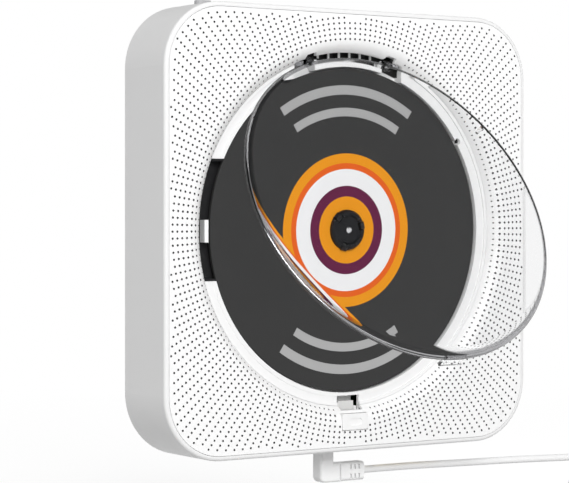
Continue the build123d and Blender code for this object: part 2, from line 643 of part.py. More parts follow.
def arc_along(start, along, end):
    """The arc that leaves start along a unit direction and reaches end."""
    chord = end - start
    flat = chord.normalized()
    aside = along - flat * along.dot(flat)
    if aside.length < 1e-6:
        return Line(start, end)
    turn = atan2(aside.length, along.dot(flat))
    middle = start + chord * 0.5 + aside.normalized() * (chord.length / 2 * tan(turn / 2))
    return ThreePointArc(start, middle, end)


def biarc(p0, t0, p1, t1):
    """Two arcs that leave p0 along t0 and reach p1 along t1."""
    v = p1 - p0
    t = t0 + t1
    a = 2 * (1 - t0.dot(t1))
    b = 2 * v.dot(t)
    c = -v.dot(v)
    d = -c / b if abs(a) < 1e-9 else (-b + sqrt(b * b - 4 * a * c)) / (2 * a)
    join = (p0 + p1 + (t0 - t1) * d) * 0.5
    middle = (p1 - t1 * d - p0 - t0 * d).normalized()
    return [arc_along(p0, t0, join), arc_along(join, middle, p1)]


def wound(place, count, step):
    """Edges of a smooth path through place(0), place(step), ... place(count * step)."""
    small = 1e-4
    points = [Vector(*place(k * step)) for k in range(count + 1)]
    tangents = [
        (Vector(*place(k * step + small)) - Vector(*place(k * step - small))).normalized()
        for k in range(count + 1)
    ]
    edges = []
    for k in range(count):
        edges += biarc(points[k], tangents[k], points[k + 1], tangents[k + 1])
    return edges, points, tangents


def lid_springs():
    """One torsion spring beside each hinge arm, round the pin, with a short leg at each end."""
    springs = []
    for side in (-1, 1):
        start = side * (ARM_IN + ARM_T + 0.55)

        def place(a):
            return (
                start + side * SPRING_PITCH * a / (2 * pi),
                HINGE_UP + SPRING_R * cos(a + pi),
                HINGE_Z + SPRING_R * sin(a + pi),
            )

        edges, points, tangents = wound(place, 2 * SPRING_TURNS, pi)
        first = Line(points[0] - tangents[0] * SPRING_LEG, points[0])
        last = Line(points[-1], points[-1] + tangents[-1] * SPRING_LEG)
        path = Wire([first] + edges + [last])
        face = Plane(origin=first @ 0, z_dir=tangents[0]) * Circle(SPRING_WIRE / 2)
        springs.append(sweep(face, path))
    return springs


# ---- latch ----
def open_button():
    """Rectangular push button with an oval dimple and a stem whose slanted tip drives the latch."""
    front = FRONT_Z + BUTTON_PROUD
    back = front - BUTTON_T
    low, high = -BUTTON_DOWN - BUTTON_H / 2, -BUTTON_DOWN + BUTTON_H / 2
    cap = box(-BUTTON_W / 2, BUTTON_W / 2, low, high, back, front)
    cap = fillet(cap.edges().filter_by(Axis.Z), 0.5)
    cap = fillet(cap.edges().group_by(Axis.Z)[-1], 0.35)
    cap -= slab(Pos(0, -BUTTON_DOWN) * SlotOverall(DIMPLE_L, DIMPLE_W), front - DIMPLE_D, front + 1)
    for side in (-1, 1):
        x0, x1 = sorted((side * (BUTTON_W / 2 - 0.8), side * (BUTTON_W / 2 + 0.9)))
        cap += box(x0, x1, low + 0.6, -BUTTON_DOWN, back - 0.7, PANEL_BACK - 0.05)
    y0, y1 = -BUTTON_DOWN - STEM_HALF, -BUTTON_DOWN + STEM_HALF
    side = Polyline(
        (-STEM_HALF, y0, back + 0.2), (-STEM_HALF, y1, back + 0.2),
        (-STEM_HALF, y1, STEM_TIP_Z), (-STEM_HALF, y0, STEM_TIP_Z + y1 - y0), close=True,
    )
    return cap + extrude(make_face(side), 2 * STEM_HALF, dir=(1, 0, 0))


def latch_slider():
    """Slider with a lip in front of the lid's hook. The button's slanted tip pushes it down."""
    base = LATCH_Z - LATCH_T
    body = box(-LATCH_W / 2, LATCH_W / 2, LATCH_LOW, LATCH_TOP, base, LATCH_Z)
    lip = box(-LATCH_W / 2, LATCH_W / 2, LATCH_TOP - 1, LATCH_LIP, LATCH_Z, LATCH_Z + 0.9)
    top_y = -BUTTON_DOWN + STEM_HALF + BUTTON_TRAVEL + 0.1
    slant = -BUTTON_DOWN + STEM_HALF + STEM_TIP_Z - 0.2     # y + z along the slanted end of the slot
    slot = Polyline(
        (-STEM_HALF - FIT, slant - LATCH_Z - 1, LATCH_Z + 1), (-STEM_HALF - FIT, top_y, LATCH_Z + 1),
        (-STEM_HALF - FIT, top_y, slant - top_y), close=True,
    )
    body -= extrude(make_face(slot), 2 * (STEM_HALF + FIT), dir=(1, 0, 0))
    tail = upright(0, base + LATCH_T / 2, 0.6, LATCH_LOW - 1.4, LATCH_LOW)
    return body + lip + tail


def compression_spring(x, z, r, wire, turns, low, high):
    """A coil along y from y = low to y = high."""
    rise = high - low - 2 * wire

    def place(a):
        share = a / (2 * pi * turns)
        return (x + r * cos(a), low + wire + rise * share, z + r * sin(a))

    edges, points, tangents = wound(place, 2 * turns, pi)
    first = Line(points[0] - tangents[0] * wire, points[0])
    last = Line(points[-1], points[-1] + tangents[-1] * wire)
    face = Plane(origin=first @ 0, z_dir=tangents[0]) * Circle(wire / 2)
    return sweep(face, Wire([first] + edges + [last]))


def latch_spring():
    return compression_spring(0, LATCH_Z - LATCH_T / 2, 1.0, 0.3, 4, CHANNEL_END + 0.02, LATCH_LOW - 0.02)


# ---- lid switch ----
PLUNGER_TOP = out(SWITCH_PIN_END) - 0.15
SWITCH_TOP = FLOOR_BACK - 0.15


def lid_switch():
    """Small switch body under the well's rim, on legs that stand on a bracket of the drive frame."""
    x, y = SWITCH_X, SWITCH_Y
    half = SWITCH_BODY / 2
    body = box(x - half, x + half, y - half, y + half, SWITCH_TOP - SWITCH_BODY_H, SWITCH_TOP)
    return body - rod(x, y, PLUNGER_R + 0.05, SWITCH_TOP - 2.6, SWITCH_TOP + 1)


def lid_switch_plunger():
    return rod(SWITCH_X, SWITCH_Y, PLUNGER_R, SWITCH_TOP - 1.4, PLUNGER_TOP)


# ---- disc and turntable ----
def compact_disc():
    return slab(Circle(DISC_R) - Circle(DISC_HOLE_R), DISC_BACK, DISC_Z)


def turntable_hub():
    """Platter and centring boss, with a pocket behind each clip."""
    top, under = out(HUB_TOP_DEPTH), DISC_BACK - PLATTER_T
    hub = turned([
        (SHAFT_R, under - 6), (SHAFT_R, top - 0.8), (HUB_R - 2.4, top - 0.8), (HUB_R - 1.9, top),
        (HUB_R - 0.8, top), (HUB_R, top - 0.9), (HUB_R, DISC_BACK), (PLATTER_R - 0.8, DISC_BACK),
        (PLATTER_R, DISC_BACK - 0.5), (PLATTER_R, under), (PLATTER_BOSS_R, under),
        (PLATTER_BOSS_R, under - 6),
    ])
    for angle in CLIP_ANGLES:
        room = box(HUB_R - 2.6, HUB_R + 1, -CLIP_W / 2 - 0.3, CLIP_W / 2 + 0.3, DISC_BACK + 0.2, top + 1)
        hub -= room.rotate(Axis.Z, angle)
    return hub


def hub_clips():
    """Three sprung clips that stand in the hub's pockets and reach over the disc's edge."""
    top = out(HUB_TOP_DEPTH)
    clips = []
    for angle in CLIP_ANGLES:
        side = Polyline(
            (HUB_R - 2.5, -CLIP_W / 2, DISC_BACK + 0.2), (HUB_R - 0.25, -CLIP_W / 2, DISC_BACK + 0.2),
            (HUB_R - 0.25, -CLIP_W / 2, DISC_Z + 0.15), (DISC_HOLE_R + CLIP_OUT, -CLIP_W / 2, DISC_Z + 0.6),
            (HUB_R - 0.4, -CLIP_W / 2, top - 0.1), (HUB_R - 2.0, -CLIP_W / 2, top - 0.1), close=True,
        )
        clips.append(extrude(make_face(side), CLIP_W, dir=(0, 1, 0)).rotate(Axis.Z, angle))
    return clips


def spindle_shaft():
    tip = out(HUB_TOP_DEPTH) + 0.2
    return turned([(0, 4.4), (SHAFT_R, 4.4), (SHAFT_R, tip - 0.4), (SHAFT_R - 0.4, tip), (0, tip)])


# ---- drive ----
def spindle_motor():
    """Flat can with a shoulder, open along its axis for the spindle."""
    return turned([
        (SHAFT_R + 0.05, FRAME_Z - MOTOR_H), (MOTOR_R, FRAME_Z - MOTOR_H), (MOTOR_R, FRAME_Z - 1),
        (MOTOR_R - 1, FRAME_Z), (SHAFT_R + 0.05, FRAME_Z),
    ])


def drive_frame():
    """Moulded frame with a window for the pickup, rod blocks, damper eyes and the gear's pin."""
    frame = box(FRAME_LEFT, FRAME_RIGHT, FRAME_LOW, FRAME_HIGH, FRAME_Z, FRAME_Z + FRAME_T)
    frame = fillet(frame.edges().filter_by(Axis.Z), 5)
    frame -= box(WINDOW_LEFT, WINDOW_RIGHT, -WINDOW_HALF, WINDOW_HALF, FRAME_Z - 1, FRAME_Z + FRAME_T + 1)
    frame -= rod(0, 0, SHAFT_R + 1.2, FRAME_Z - 1, FRAME_Z + FRAME_T + 1)
    rim = 1.6
    frame -= box(
        FRAME_LEFT + 13, -MOTOR_R - 2, FRAME_LOW + rim + 3, FRAME_HIGH - rim - 3,
        FRAME_Z + 1.2, FRAME_Z + FRAME_T + 1,
    )
    for x, y in FRAME_POSTS:
        frame -= rod(x, y, POST_PIN_R + 0.5, FRAME_Z - 1, FRAME_Z + FRAME_T + 1)
    for x in (WINDOW_LEFT - ROD_BLOCK_L - 0.4, WINDOW_RIGHT + 0.4):
        for y in (-ROD_Y, ROD_Y):
            block = box(x, x + ROD_BLOCK_L, y - 2.2, y + 2.2, ROD_Z - 2.2, FRAME_Z)
            frame += block
            frame -= across(x - 0.1, y, ROD_Z, ROD_R + 0.02, ROD_BLOCK_L + 0.2)
    frame += rod(GEAR_X, GEAR_Y, 2.0, FRAME_Z + FRAME_T, GEAR_Z - 0.1)
    frame += rod(GEAR_X, GEAR_Y, 1.0, FRAME_Z, WHEEL_Z + WHEEL_T + 0.4)
    frame -= rod(PINION_X, PINION_Y, 1.6, FRAME_Z - 1, FRAME_Z + FRAME_T + 1)
    left, low = SWITCH_X - SWITCH_BODY / 2, SWITCH_Y - SWITCH_BODY / 2
    stand = box(left, FRAME_RIGHT - 8, low, FRAME_HIGH - 1, FRAME_Z, SWITCH_TOP - SWITCH_BODY_H)
    return frame + stand - box(
        WINDOW_LEFT, WINDOW_RIGHT, -WINDOW_HALF, WINDOW_HALF, FRAME_Z + FRAME_T, FRONT_Z
    )


def dampers():
    """Rubber rings that the frame floats on."""
    return [
        slab(Pos(x, y) * (Circle(DAMPER_R) - Circle(POST_PIN_R + FIT)), FRAME_Z - DAMPER_H, FRAME_Z)
        for x, y in FRAME_POSTS
    ]


def guide_rods():
    start = WINDOW_LEFT - ROD_BLOCK_L - 0.4
    length = WINDOW_RIGHT + 0.4 + ROD_BLOCK_L - start
    return [across(start, y, ROD_Z, ROD_R, length) for y in (-ROD_Y, ROD_Y)]


def tooth_outline(teeth, module, play):
    """Points of a spur gear's outline: flank lines with a little play, tips and roots on circles."""
    pitch_r = module * teeth / 2
    tip_r, root_r = pitch_r + module * 0.9, pitch_r - module * 1.2
    half = (module * pi / 2 - play) / 2
    points = []
    for k in range(teeth):
        middle = 2 * pi * k / teeth
        for r, width in (
            (root_r, half + 0.44 * (pitch_r - root_r)), (tip_r, half - 0.40 * (tip_r - pitch_r)),
        ):
            points.append((r, middle - width / r))
        for r, width in (
            (tip_r, half - 0.40 * (tip_r - pitch_r)), (root_r, half + 0.44 * (pitch_r - root_r)),
        ):
            points.append((r, middle + width / r))
    return [(r * cos(a), r * sin(a)) for r, a in points]


def gear(teeth, x, y, low, high, turn, bore):
    """A spur gear whose first tooth points at turn degrees."""
    face = make_face(Polyline(*tooth_outline(teeth, GEAR_MODULE, GEAR_BACKLASH), close=True))
    return Pos(x, y) * Rot(0, 0, turn) * slab(face - Circle(bore), low, high)


def feed_gear():
    """Large wheel and small pinion in one: the wheel takes the motor's drive, the pinion the rack."""
    small = gear(DRIVE_TEETH, GEAR_X, GEAR_Y, GEAR_Z, WHEEL_Z + 0.2, -90, 1.05)
    wheel = gear(WHEEL_TEETH, GEAR_X, GEAR_Y, WHEEL_Z, WHEEL_Z + WHEEL_T, PINION_ANGLE, 1.05)
    return small + wheel


def feed_pinion():
    """Motor pinion on its shaft, meshed with the large wheel."""
    facing = PINION_ANGLE + 180 + 180 / PINION_TEETH
    pinion = gear(PINION_TEETH, PINION_X, PINION_Y, WHEEL_Z - 0.2, WHEEL_Z + WHEEL_T + 0.2, facing, 0.5)
    shaft = rod(PINION_X, PINION_Y, 0.6, FRAME_Z - 4, WHEEL_Z + WHEEL_T)
    return pinion + shaft


def feed_motor():
    can = rod(PINION_X, PINION_Y, FEED_MOTOR_R, FRAME_Z - FEED_MOTOR_H, FRAME_Z)
    can = fillet(can.edges().group_by(Axis.Z)[0], 0.8)
    return can - rod(PINION_X, PINION_Y, 0.7, FRAME_Z - 4.2, FRAME_Z + 1)


def pickup_sled():
    """Carriage on the two rods, with the rack along its side."""
    x0, x1 = SLED_IN - SLED_L / 2, SLED_IN + SLED_L / 2
    sled = box(x0, x1, -SLED_HALF, SLED_HALF, ROD_Z - 2, SLED_TOP)
    sled += box(x0, x1, -SLED_WING_HALF, SLED_WING_HALF, ROD_Z - 2, FRAME_Z - 0.4)
    for y in (-ROD_Y, ROD_Y):
        sled -= across(x0 - 1, y, ROD_Z, ROD_R + 0.05, SLED_L + 2)
    pitch = pi * GEAR_MODULE
    root = RACK_Y - GEAR_MODULE * 1.2
    start = GEAR_X - pitch / 2 - ceil(SLED_TRAVEL / pitch + 1) * pitch
    count = ceil((x0 - start) / pitch)
    half = (pitch / 2 - GEAR_BACKLASH) / 2
    outline = [(x0 + 2, SLED_HALF - 1.0), (start - pitch / 2, SLED_HALF - 1.0), (start - pitch / 2, root)]
    for k in range(count):
        middle = start + k * pitch
        outline += [
            (middle - half - 0.26, root), (middle - half + 0.18, RACK_Y + GEAR_MODULE * 0.9),
            (middle + half - 0.18, RACK_Y + GEAR_MODULE * 0.9), (middle + half + 0.26, root),
        ]
    outline += [(x0 + 2, root)]
    sled += slab(make_face(Polyline(*outline, close=True)), RACK_Z, RACK_Z + RACK_T)
    return sled


def lens_holder():
    top = DISC_BACK - LENS_GAP - 0.8
    return slab(Pos(SLED_IN, 0) * (Circle(LENS_HOLDER_R) - Circle(LENS_R)), SLED_TOP, top)


def objective_lens():
    top = DISC_BACK - LENS_GAP
    return Pos(SLED_IN, 0) * turned([
        (0, SLED_TOP), (LENS_R, SLED_TOP), (LENS_R, top - 1.0), (LENS_R - 0.9, top - 0.2), (0, top),
    ])


# ---- boards, sockets and controls ----
BOARD_TOP_Z = BOARD_Z + BOARD_T
JACK_INNER = -INNER + 0.02


def main_board():
    board = box(-BOARD_HALF, BOARD_HALF, BOARD_LOW, BOARD_TOP, BOARD_Z, BOARD_TOP_Z)
    for x, down, half in BOARD_CHIPS:
        y = BOARD_TOP - down
        board += box(x - half, x + half, y - half, y + half, BOARD_TOP_Z, BOARD_TOP_Z + 1.2)
    for x, down in BOARD_CANS:
        board += rod(x, BOARD_TOP - down, 1.8, BOARD_TOP_Z, BOARD_TOP_Z + 6)
    return board


def dc_jack():
    body = box(
        PLUG_X - JACK_W / 2, PLUG_X + JACK_W / 2, JACK_INNER, JACK_INNER + JACK_L,
        BOARD_TOP_Z, PLUG_Z + JACK_W / 2,
    )
    return body - upright(PLUG_X, PLUG_Z, BARREL_R + 0.2, JACK_INNER - 1, JACK_INNER + 9)


def aux_jack():
    half = AUX_BODY_W / 2
    body = box(AUX_X - half, AUX_X + half, JACK_INNER, JACK_INNER + 12, BOARD_TOP_Z, PLUG_Z + half)
    body += upright(AUX_X, PLUG_Z, AUX_R + 1.1, -HALF + 0.3, JACK_INNER + 0.1)
    return body - upright(AUX_X, PLUG_Z, AUX_R, -HALF - 1, JACK_INNER + 11)


def usb_port():
    low = -HALF + 0.4
    w, h = USB_W / 2 - FIT, USB_H / 2 - FIT
    inner_w, inner_h = w - USB_WALL, h - USB_WALL
    shell = box(USB_X - w, USB_X + w, low, JACK_INNER + 12, PLUG_Z - h, PLUG_Z + h)
    x0, x1 = USB_X - inner_w, USB_X + inner_w
    shell -= box(x0, x1, low - 1, JACK_INNER + 10.5, PLUG_Z - inner_h, PLUG_Z + inner_h)
    shell += box(USB_X - w + 1, USB_X + w - 1, JACK_INNER + 1, JACK_INNER + 12, BOARD_TOP_Z, PLUG_Z - h)
    return shell


def display_window():
    """Dark capsule set into the bottom wall."""
    pane = display_pill(WINDOW_L / 2 - FIT, WINDOW_W / 2 - FIT, -HALF + 0.15, -INNER + 0.4)
    frame = display_pill(WINDOW_L / 2 + 1.2, WINDOW_W / 2 + 1.2, -INNER + 0.02, -INNER + 0.8)
    return pane + frame


def display_module():
    half_l = WINDOW_L / 2 - MODULE_RIM
    low, high = BOARD_TOP_Z + MODULE_GAP, WINDOW_Z + WINDOW_W / 2 - MODULE_RIM
    y0 = -INNER + 0.8
    return box(WINDOW_X - half_l, WINDOW_X + half_l, y0, y0 + MODULE_T, low, high)


def ir_receiver():
    x, y = 24.0, -INNER + 7.3
    body = box(x - 2.5, x + 2.5, y - 2, y + 2, PANEL_BACK - 8, PANEL_BACK - 1.5)
    body += rod(x, y, 1.5, PANEL_BACK - 1.6, PANEL_BACK - 0.3)
    for dx in (-1.8, 0, 1.8):
        body += box(x + dx - 0.25, x + dx + 0.25, y - 0.25, y + 0.25, BOARD_TOP_Z, PANEL_BACK - 8)
    return body


def button_board():
    low, high = TOP_BUTTON_Z - SWITCH_BOARD_HALF, TOP_BUTTON_Z + SWITCH_BOARD_HALF
    return box(*SWITCH_BOARD_X, SWITCH_BOARD_Y, SWITCH_FACE, low, high)


def tact_switches():
    cubes = []
    for x in TOP_BUTTON_X:
        cube = box(
            x - SWITCH_CUBE / 2, x + SWITCH_CUBE / 2, SWITCH_FACE, SWITCH_FACE + 3.6,
            TOP_BUTTON_Z - SWITCH_CUBE / 2, TOP_BUTTON_Z + SWITCH_CUBE / 2,
        )
        cubes.append(cube + upright(x, TOP_BUTTON_Z, 1.0, SWITCH_FACE + 3.6, SWITCH_FACE + 4.2))
    return cubes


def top_button(x):
    """Pill-shaped button in the top wall, with a collar inside and a stem to its switch."""
    cap = button_pill(x, 0, INNER - 1.2, HALF + TOP_BUTTON_H)
    cap = fillet(cap.edges().group_by(Axis.Y)[-1], 0.4)
    cap += button_pill(x, 0.7, INNER - 1.6, INNER - 0.65)
    return cap + upright(x, TOP_BUTTON_Z, 1.1, SWITCH_FACE + 4.2 + TOP_BUTTON_TRAVEL + 0.02, INNER - 1.6)


# ---- speakers ----
def speaker_baskets():
    z = PANEL_BACK
    baskets = []
    for x, y in SPEAKERS:
        basket = turned([
            (CONE_R + 0.8, z - 0.02), (SPEAKER_R, z - 0.02), (SPEAKER_R, z - 1.2), (CONE_R + 1.6, z - 1.2),
            (MAGNET_R + 0.6, z - 9), (MAGNET_R - 4, z - 9), (MAGNET_R - 4, z - 8), (MAGNET_R, z - 8),
            (CONE_R + 0.8, z - 1.4),
        ])
        baskets.append(Pos(x, y) * basket)
    return baskets


def speaker_cones():
    z = PANEL_BACK
    cones = []
    for x, y in SPEAKERS:
        cone = turned([
            (0, z - 4.2), (3.2, z - 5.0), (CONE_R - 0.8, z - 1.3), (CONE_R - 0.3, z - 0.8),
            (CONE_R + 0.8, z - 0.8), (CONE_R + 0.8, z - 1.3), (CONE_R, z - 1.3), (CONE_R - 0.4, z - 1.9),
            (3.6, z - 6.2), (3.6, z - 7.8), (3.0, z - 7.8), (3.0, z - 5.6), (0, z - 4.8),
        ])
        cones.append(Pos(x, y) * cone)
    return cones


def speaker_magnets():
    return [rod(x, y, MAGNET_R, PANEL_BACK - 14, PANEL_BACK - 9) for x, y in SPEAKERS]


# ---- cord ----
def dc_plug():
    """Moulded elbow: an upright leg into the socket and a sideways leg."""
    left, right, bottom = PLUG_X - BODY_W / 2, PLUG_X + BODY_W / 2, -HALF - BODY_DOWN
    face = make_face(Polyline(
        (left, -HALF), (left, bottom), (PLUG_X + ARM_X, bottom), (PLUG_X + ARM_X, bottom + ARM_H),
        (right, bottom + ARM_H), (right, -HALF), close=True,
    ))
    corner = face.vertices().sort_by_distance((left, bottom))[0]
    face = fillet(corner, 2.2)
    elbow = slab(face, PLUG_Z - BODY_W / 2, PLUG_Z + BODY_W / 2)
    elbow = fillet(elbow.edges().group_by(Axis.Z)[0] + elbow.edges().group_by(Axis.Z)[-1], 1.1)
    return elbow + upright(PLUG_X, PLUG_Z, BARREL_R, -HALF - 0.5, -HALF + 9.5)


CORD_Y = -HALF - BODY_DOWN + ARM_H / 2
RELIEF_X = PLUG_X + ARM_X


def strain_relief():
    """Sleeve where the cord leaves the plug, with two rows of slots in its front and back."""
    face = Plane((RELIEF_X, CORD_Y, PLUG_Z), x_dir=(0, 1, 0), z_dir=(1, 0, 0)) * RectangleRounded(
        ARM_H, BODY_W, 1.6
    )
    sleeve = extrude(face, RELIEF_L)
    for k in range(RELIEF_SLOTS):
        x = RELIEF_X + RELIEF_L - 1.4 - RELIEF_PITCH * (k + 0.5)
        for up in (-1, 1):
            y = CORD_Y + up * 1.75
            for way in (-1, 1):
                z = PLUG_Z + way * BODY_W / 2
                sleeve -= box(x - 0.4, x + 0.4, y - 0.95, y + 0.95, z - 1.1, z + 1.1)
    return sleeve


# ---- coil at the cord's end ----
COIL_X = 143.0
COIL_Y = CORD_Y - 3.0 - COIL_IN_R - COIL_TURNS * COIL_STEP
COIL_TOP_Z = PLUG_Z
COIL_SPAN = 2 * pi * COIL_TURNS
COIL_END = COIL_LAYERS * COIL_SPAN + (COIL_LAYERS - 1) * pi


def coil_place(a):
    """Point of the coil after a radians: flat spirals in and out, with half a turn between layers."""
    period = COIL_SPAN + pi
    layer = min(int(max(a, 0) // period), COIL_LAYERS - 1)
    inside = a - layer * period
    share = min(inside / COIL_SPAN, 1.0)
    climb = max(0.0, (inside - COIL_SPAN) / pi)
    inward = share if layer % 2 == 0 else 1 - share
    r = COIL_IN_R + COIL_STEP * COIL_TURNS * (1 - inward)
    z = COIL_TOP_Z - COIL_RISE * (layer + climb - sin(2 * pi * climb) / (2 * pi))
    return (COIL_X + r * sin(a), COIL_Y + r * cos(a), z)


def coil_start():
    """The coil's first point and direction."""
    first, later = Vector(*coil_place(0)), Vector(*coil_place(1e-4))
    return first, (later - first).normalized()


def cord_coil():
    """The rest of the cord as one unbroken wound tube."""
    count = round(COIL_END / (pi / 2))
    edges, points, tangents = wound(coil_place, count, pi / 2)
    lead = Line(points[0] - tangents[0] * CORD_D, points[0])
    tail = Line(points[-1], points[-1] + tangents[-1] * COIL_TAIL)
    path = Wire([lead] + edges + [tail])
    samples = [Vector(*coil_place(COIL_END * k / 1500)) for k in range(1501)]
    least = min(
        (samples[i] - samples[k]).length
        for i in range(0, 1501, 3) for k in range(i + 90, 1501)
    )
    print("coil length (mm):", round(path.length, 1), "least gap (mm):", round(least - CORD_D, 2))
    solid = sweep(Plane(origin=lead @ 0, z_dir=tangents[0]) * Circle(CORD_D / 2), path)
    print("coil volume check:", round(solid.volume / (pi * CORD_D ** 2 / 4 * path.length), 4))
    return solid


def coil_tie():
    """Strap round all the turns at one side of the coil."""
    low = sqrt((COIL_IN_R - CORD_D / 2) ** 2 - (TIE_W / 2) ** 2) - TIE_GAP
    high = COIL_IN_R + COIL_TURNS * COIL_STEP + CORD_D / 2 + TIE_GAP
    top = COIL_TOP_Z + CORD_D / 2 + TIE_GAP
    bottom = COIL_TOP_Z - (COIL_LAYERS - 1) * COIL_RISE - CORD_D / 2 - TIE_GAP
    x0, x1 = COIL_X + low, COIL_X + high
    strap = box(x0 - TIE_T, x1 + TIE_T, COIL_Y - TIE_W / 2, COIL_Y + TIE_W / 2, bottom - TIE_T, top + TIE_T)
    strap = fillet(strap.edges().filter_by(Axis.Y), TIE_T + 0.3)
    return strap - box(x0, x1, COIL_Y - TIE_W, COIL_Y + TIE_W, bottom, top)


def plug_end():
    """Where the coil's far end meets its plug, and the direction there."""
    last, before = Vector(*coil_place(COIL_END)), Vector(*coil_place(COIL_END - 1e-4))
    along = (last - before).normalized()
    return last + along * COIL_TAIL, along


def usb_plug():
    """Moulded plug at the cord's far end."""
    start, along = plug_end()
    place = Plane(origin=start, x_dir=(0, 0, 1), z_dir=along)
    sleeve = extrude(place * Circle(2.4), 6)
    body = extrude(place.offset(6) * RectangleRounded(7.5, 13, 2), 19)
    return sleeve + body


def usb_plug_shell():
    start, along = plug_end()
    place = Plane(origin=start, x_dir=(0, 0, 1), z_dir=along).offset(25)
    shell = extrude(place * RectangleRounded(4.5, 12, 0.5), 12)
    room = extrude(place.offset(1) * Rectangle(3.7, 11.2), 12)
    tongue = extrude(place.offset(0.5) * (Pos(0.9, 0) * Rectangle(1.9, 11.3)), 11)
    return shell - room + tongue


# The cord's free stretch: out of the sleeve and across to the coil's top, chosen by hand.
COIL_FIRST, COIL_ALONG = coil_start()
CORD_END = COIL_FIRST - COIL_ALONG * CORD_D
CORD_BEFORE = CORD_END - COIL_ALONG * 22.0
CORD_POINTS = [
    (RELIEF_X + RELIEF_L, CORD_Y, PLUG_Z),
    (35.0, CORD_Y, PLUG_Z),
    (62.0, -92.1, 13.8),
    (90.0, -92.6, 14.1),
    (CORD_BEFORE.X, CORD_BEFORE.Y, CORD_BEFORE.Z),
    (CORD_END.X, CORD_END.Y, CORD_END.Z),
]


def smooth_route(points):
    """Straight runs joined by tangent arcs as large as the runs allow. Prints the radii."""
    radii = []
    for before, here, after in zip(points, points[1:], points[2:]):
        a, b = Vector(*before), Vector(*here)
        c = Vector(*after)
        turn = radians((b - a).get_angle(c - b))
        radii.append(0.45 * min((b - a).length, (c - b).length) / tan(turn / 2))
    print("cord arc radii (mm):", [round(r, 1) for r in radii])
    return FilletPolyline(*points, radius=radii)


def cord():
    path = smooth_route(CORD_POINTS)
    solid = sweep(Plane(origin=path @ 0, z_dir=path % 0) * Circle(CORD_D / 2), path)
    print("cord free stretch (mm):", round(path.length, 1), "volume check:",
          round(solid.volume / (pi * CORD_D ** 2 / 4 * path.length), 4))
    return solid


# ---- all pieces ----
def pieces():
    found = {
        "main_housing": main_housing(), "rear_cover": rear_cover(), "wall_pads": wall_pads(),
        "cover_screws": cover_screws(), "front_grille": front_grille(), "disc_tray": disc_tray(),
        "tray_screws": tray_screws(), "finger_recess": finger_recess(), "recess_tab": recess_tab(),
        "clear_lid": clear_lid(), "hinge_pins": hinge_pins(), "lid_springs": lid_springs(),
        "open_button": open_button(), "latch_slider": latch_slider(), "latch_spring": latch_spring(),
        "lid_switch": lid_switch(), "lid_switch_plunger": lid_switch_plunger(),
        "compact_disc": compact_disc(), "turntable_hub": turntable_hub(), "hub_clips": hub_clips(),
        "spindle_shaft": spindle_shaft(), "spindle_motor": spindle_motor(), "drive_frame": drive_frame(),
        "dampers": dampers(), "guide_rods": guide_rods(), "feed_gear": feed_gear(),
        "feed_pinion": feed_pinion(), "feed_motor": feed_motor(), "pickup_sled": pickup_sled(),
        "lens_holder": lens_holder(), "objective_lens": objective_lens(), "main_board": main_board(),
        "dc_jack": dc_jack(), "aux_jack": aux_jack(), "usb_port": usb_port(),
        "display_window": display_window(), "display_module": display_module(),
        "ir_receiver": ir_receiver(), "button_board": button_board(), "tact_switches": tact_switches(),
        "speaker_baskets": speaker_baskets(), "speaker_cones": speaker_cones(),
        "speaker_magnets": speaker_magnets(), "dc_plug": dc_plug(), "strain_relief": strain_relief(),
        "cord": cord(), "cord_coil": cord_coil(), "coil_tie": coil_tie(), "usb_plug": usb_plug(),
        "usb_plug_shell": usb_plug_shell(),
    }
    for k, x in enumerate(TOP_BUTTON_X):
        found["power_button" if k == 0 else f"top_button_{k}"] = top_button(x)
    return found


def solids_of(piece):
    parts = piece if isinstance(piece, list) else [piece]
    return [solid for part in parts for solid in part.solids()]


def main():
    os.makedirs("parts", exist_ok=True)
    standing = Plane.XZ.location
    for name, piece in pieces().items():
        placed = [standing * solid for solid in solids_of(piece)]
        shape = placed[0] if len(placed) == 1 else Compound(children=placed)
        export_step(shape, f"parts/{name}.step")


if __name__ == "__main__":
    main()
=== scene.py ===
import bpy
import bmesh
import json
from math import cos, pi, radians, sin, sqrt
from mathutils import Matrix, Vector
from mathutils.geometry import delaunay_2d_cdt


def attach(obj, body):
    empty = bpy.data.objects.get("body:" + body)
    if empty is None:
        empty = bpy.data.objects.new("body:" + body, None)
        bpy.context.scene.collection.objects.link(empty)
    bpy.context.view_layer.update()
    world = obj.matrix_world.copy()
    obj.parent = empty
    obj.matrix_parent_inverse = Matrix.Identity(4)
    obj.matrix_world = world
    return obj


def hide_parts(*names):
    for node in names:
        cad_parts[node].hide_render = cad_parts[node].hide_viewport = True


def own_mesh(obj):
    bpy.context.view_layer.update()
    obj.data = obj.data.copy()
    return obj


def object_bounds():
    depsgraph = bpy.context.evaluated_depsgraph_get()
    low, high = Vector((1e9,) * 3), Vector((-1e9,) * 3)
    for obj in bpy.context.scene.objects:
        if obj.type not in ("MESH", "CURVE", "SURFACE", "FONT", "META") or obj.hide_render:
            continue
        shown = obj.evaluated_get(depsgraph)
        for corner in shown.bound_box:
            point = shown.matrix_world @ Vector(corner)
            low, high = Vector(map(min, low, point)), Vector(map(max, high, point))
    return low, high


# Looks of the wall-hung disc player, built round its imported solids.
# The frame is in metres, with the wall at Y = 0, the front towards -Y and up +Z.
# Sizes in millimetres go through MM or stand(). "out" is a point's distance from the wall, and "up" is its
# height over the disc's centre.

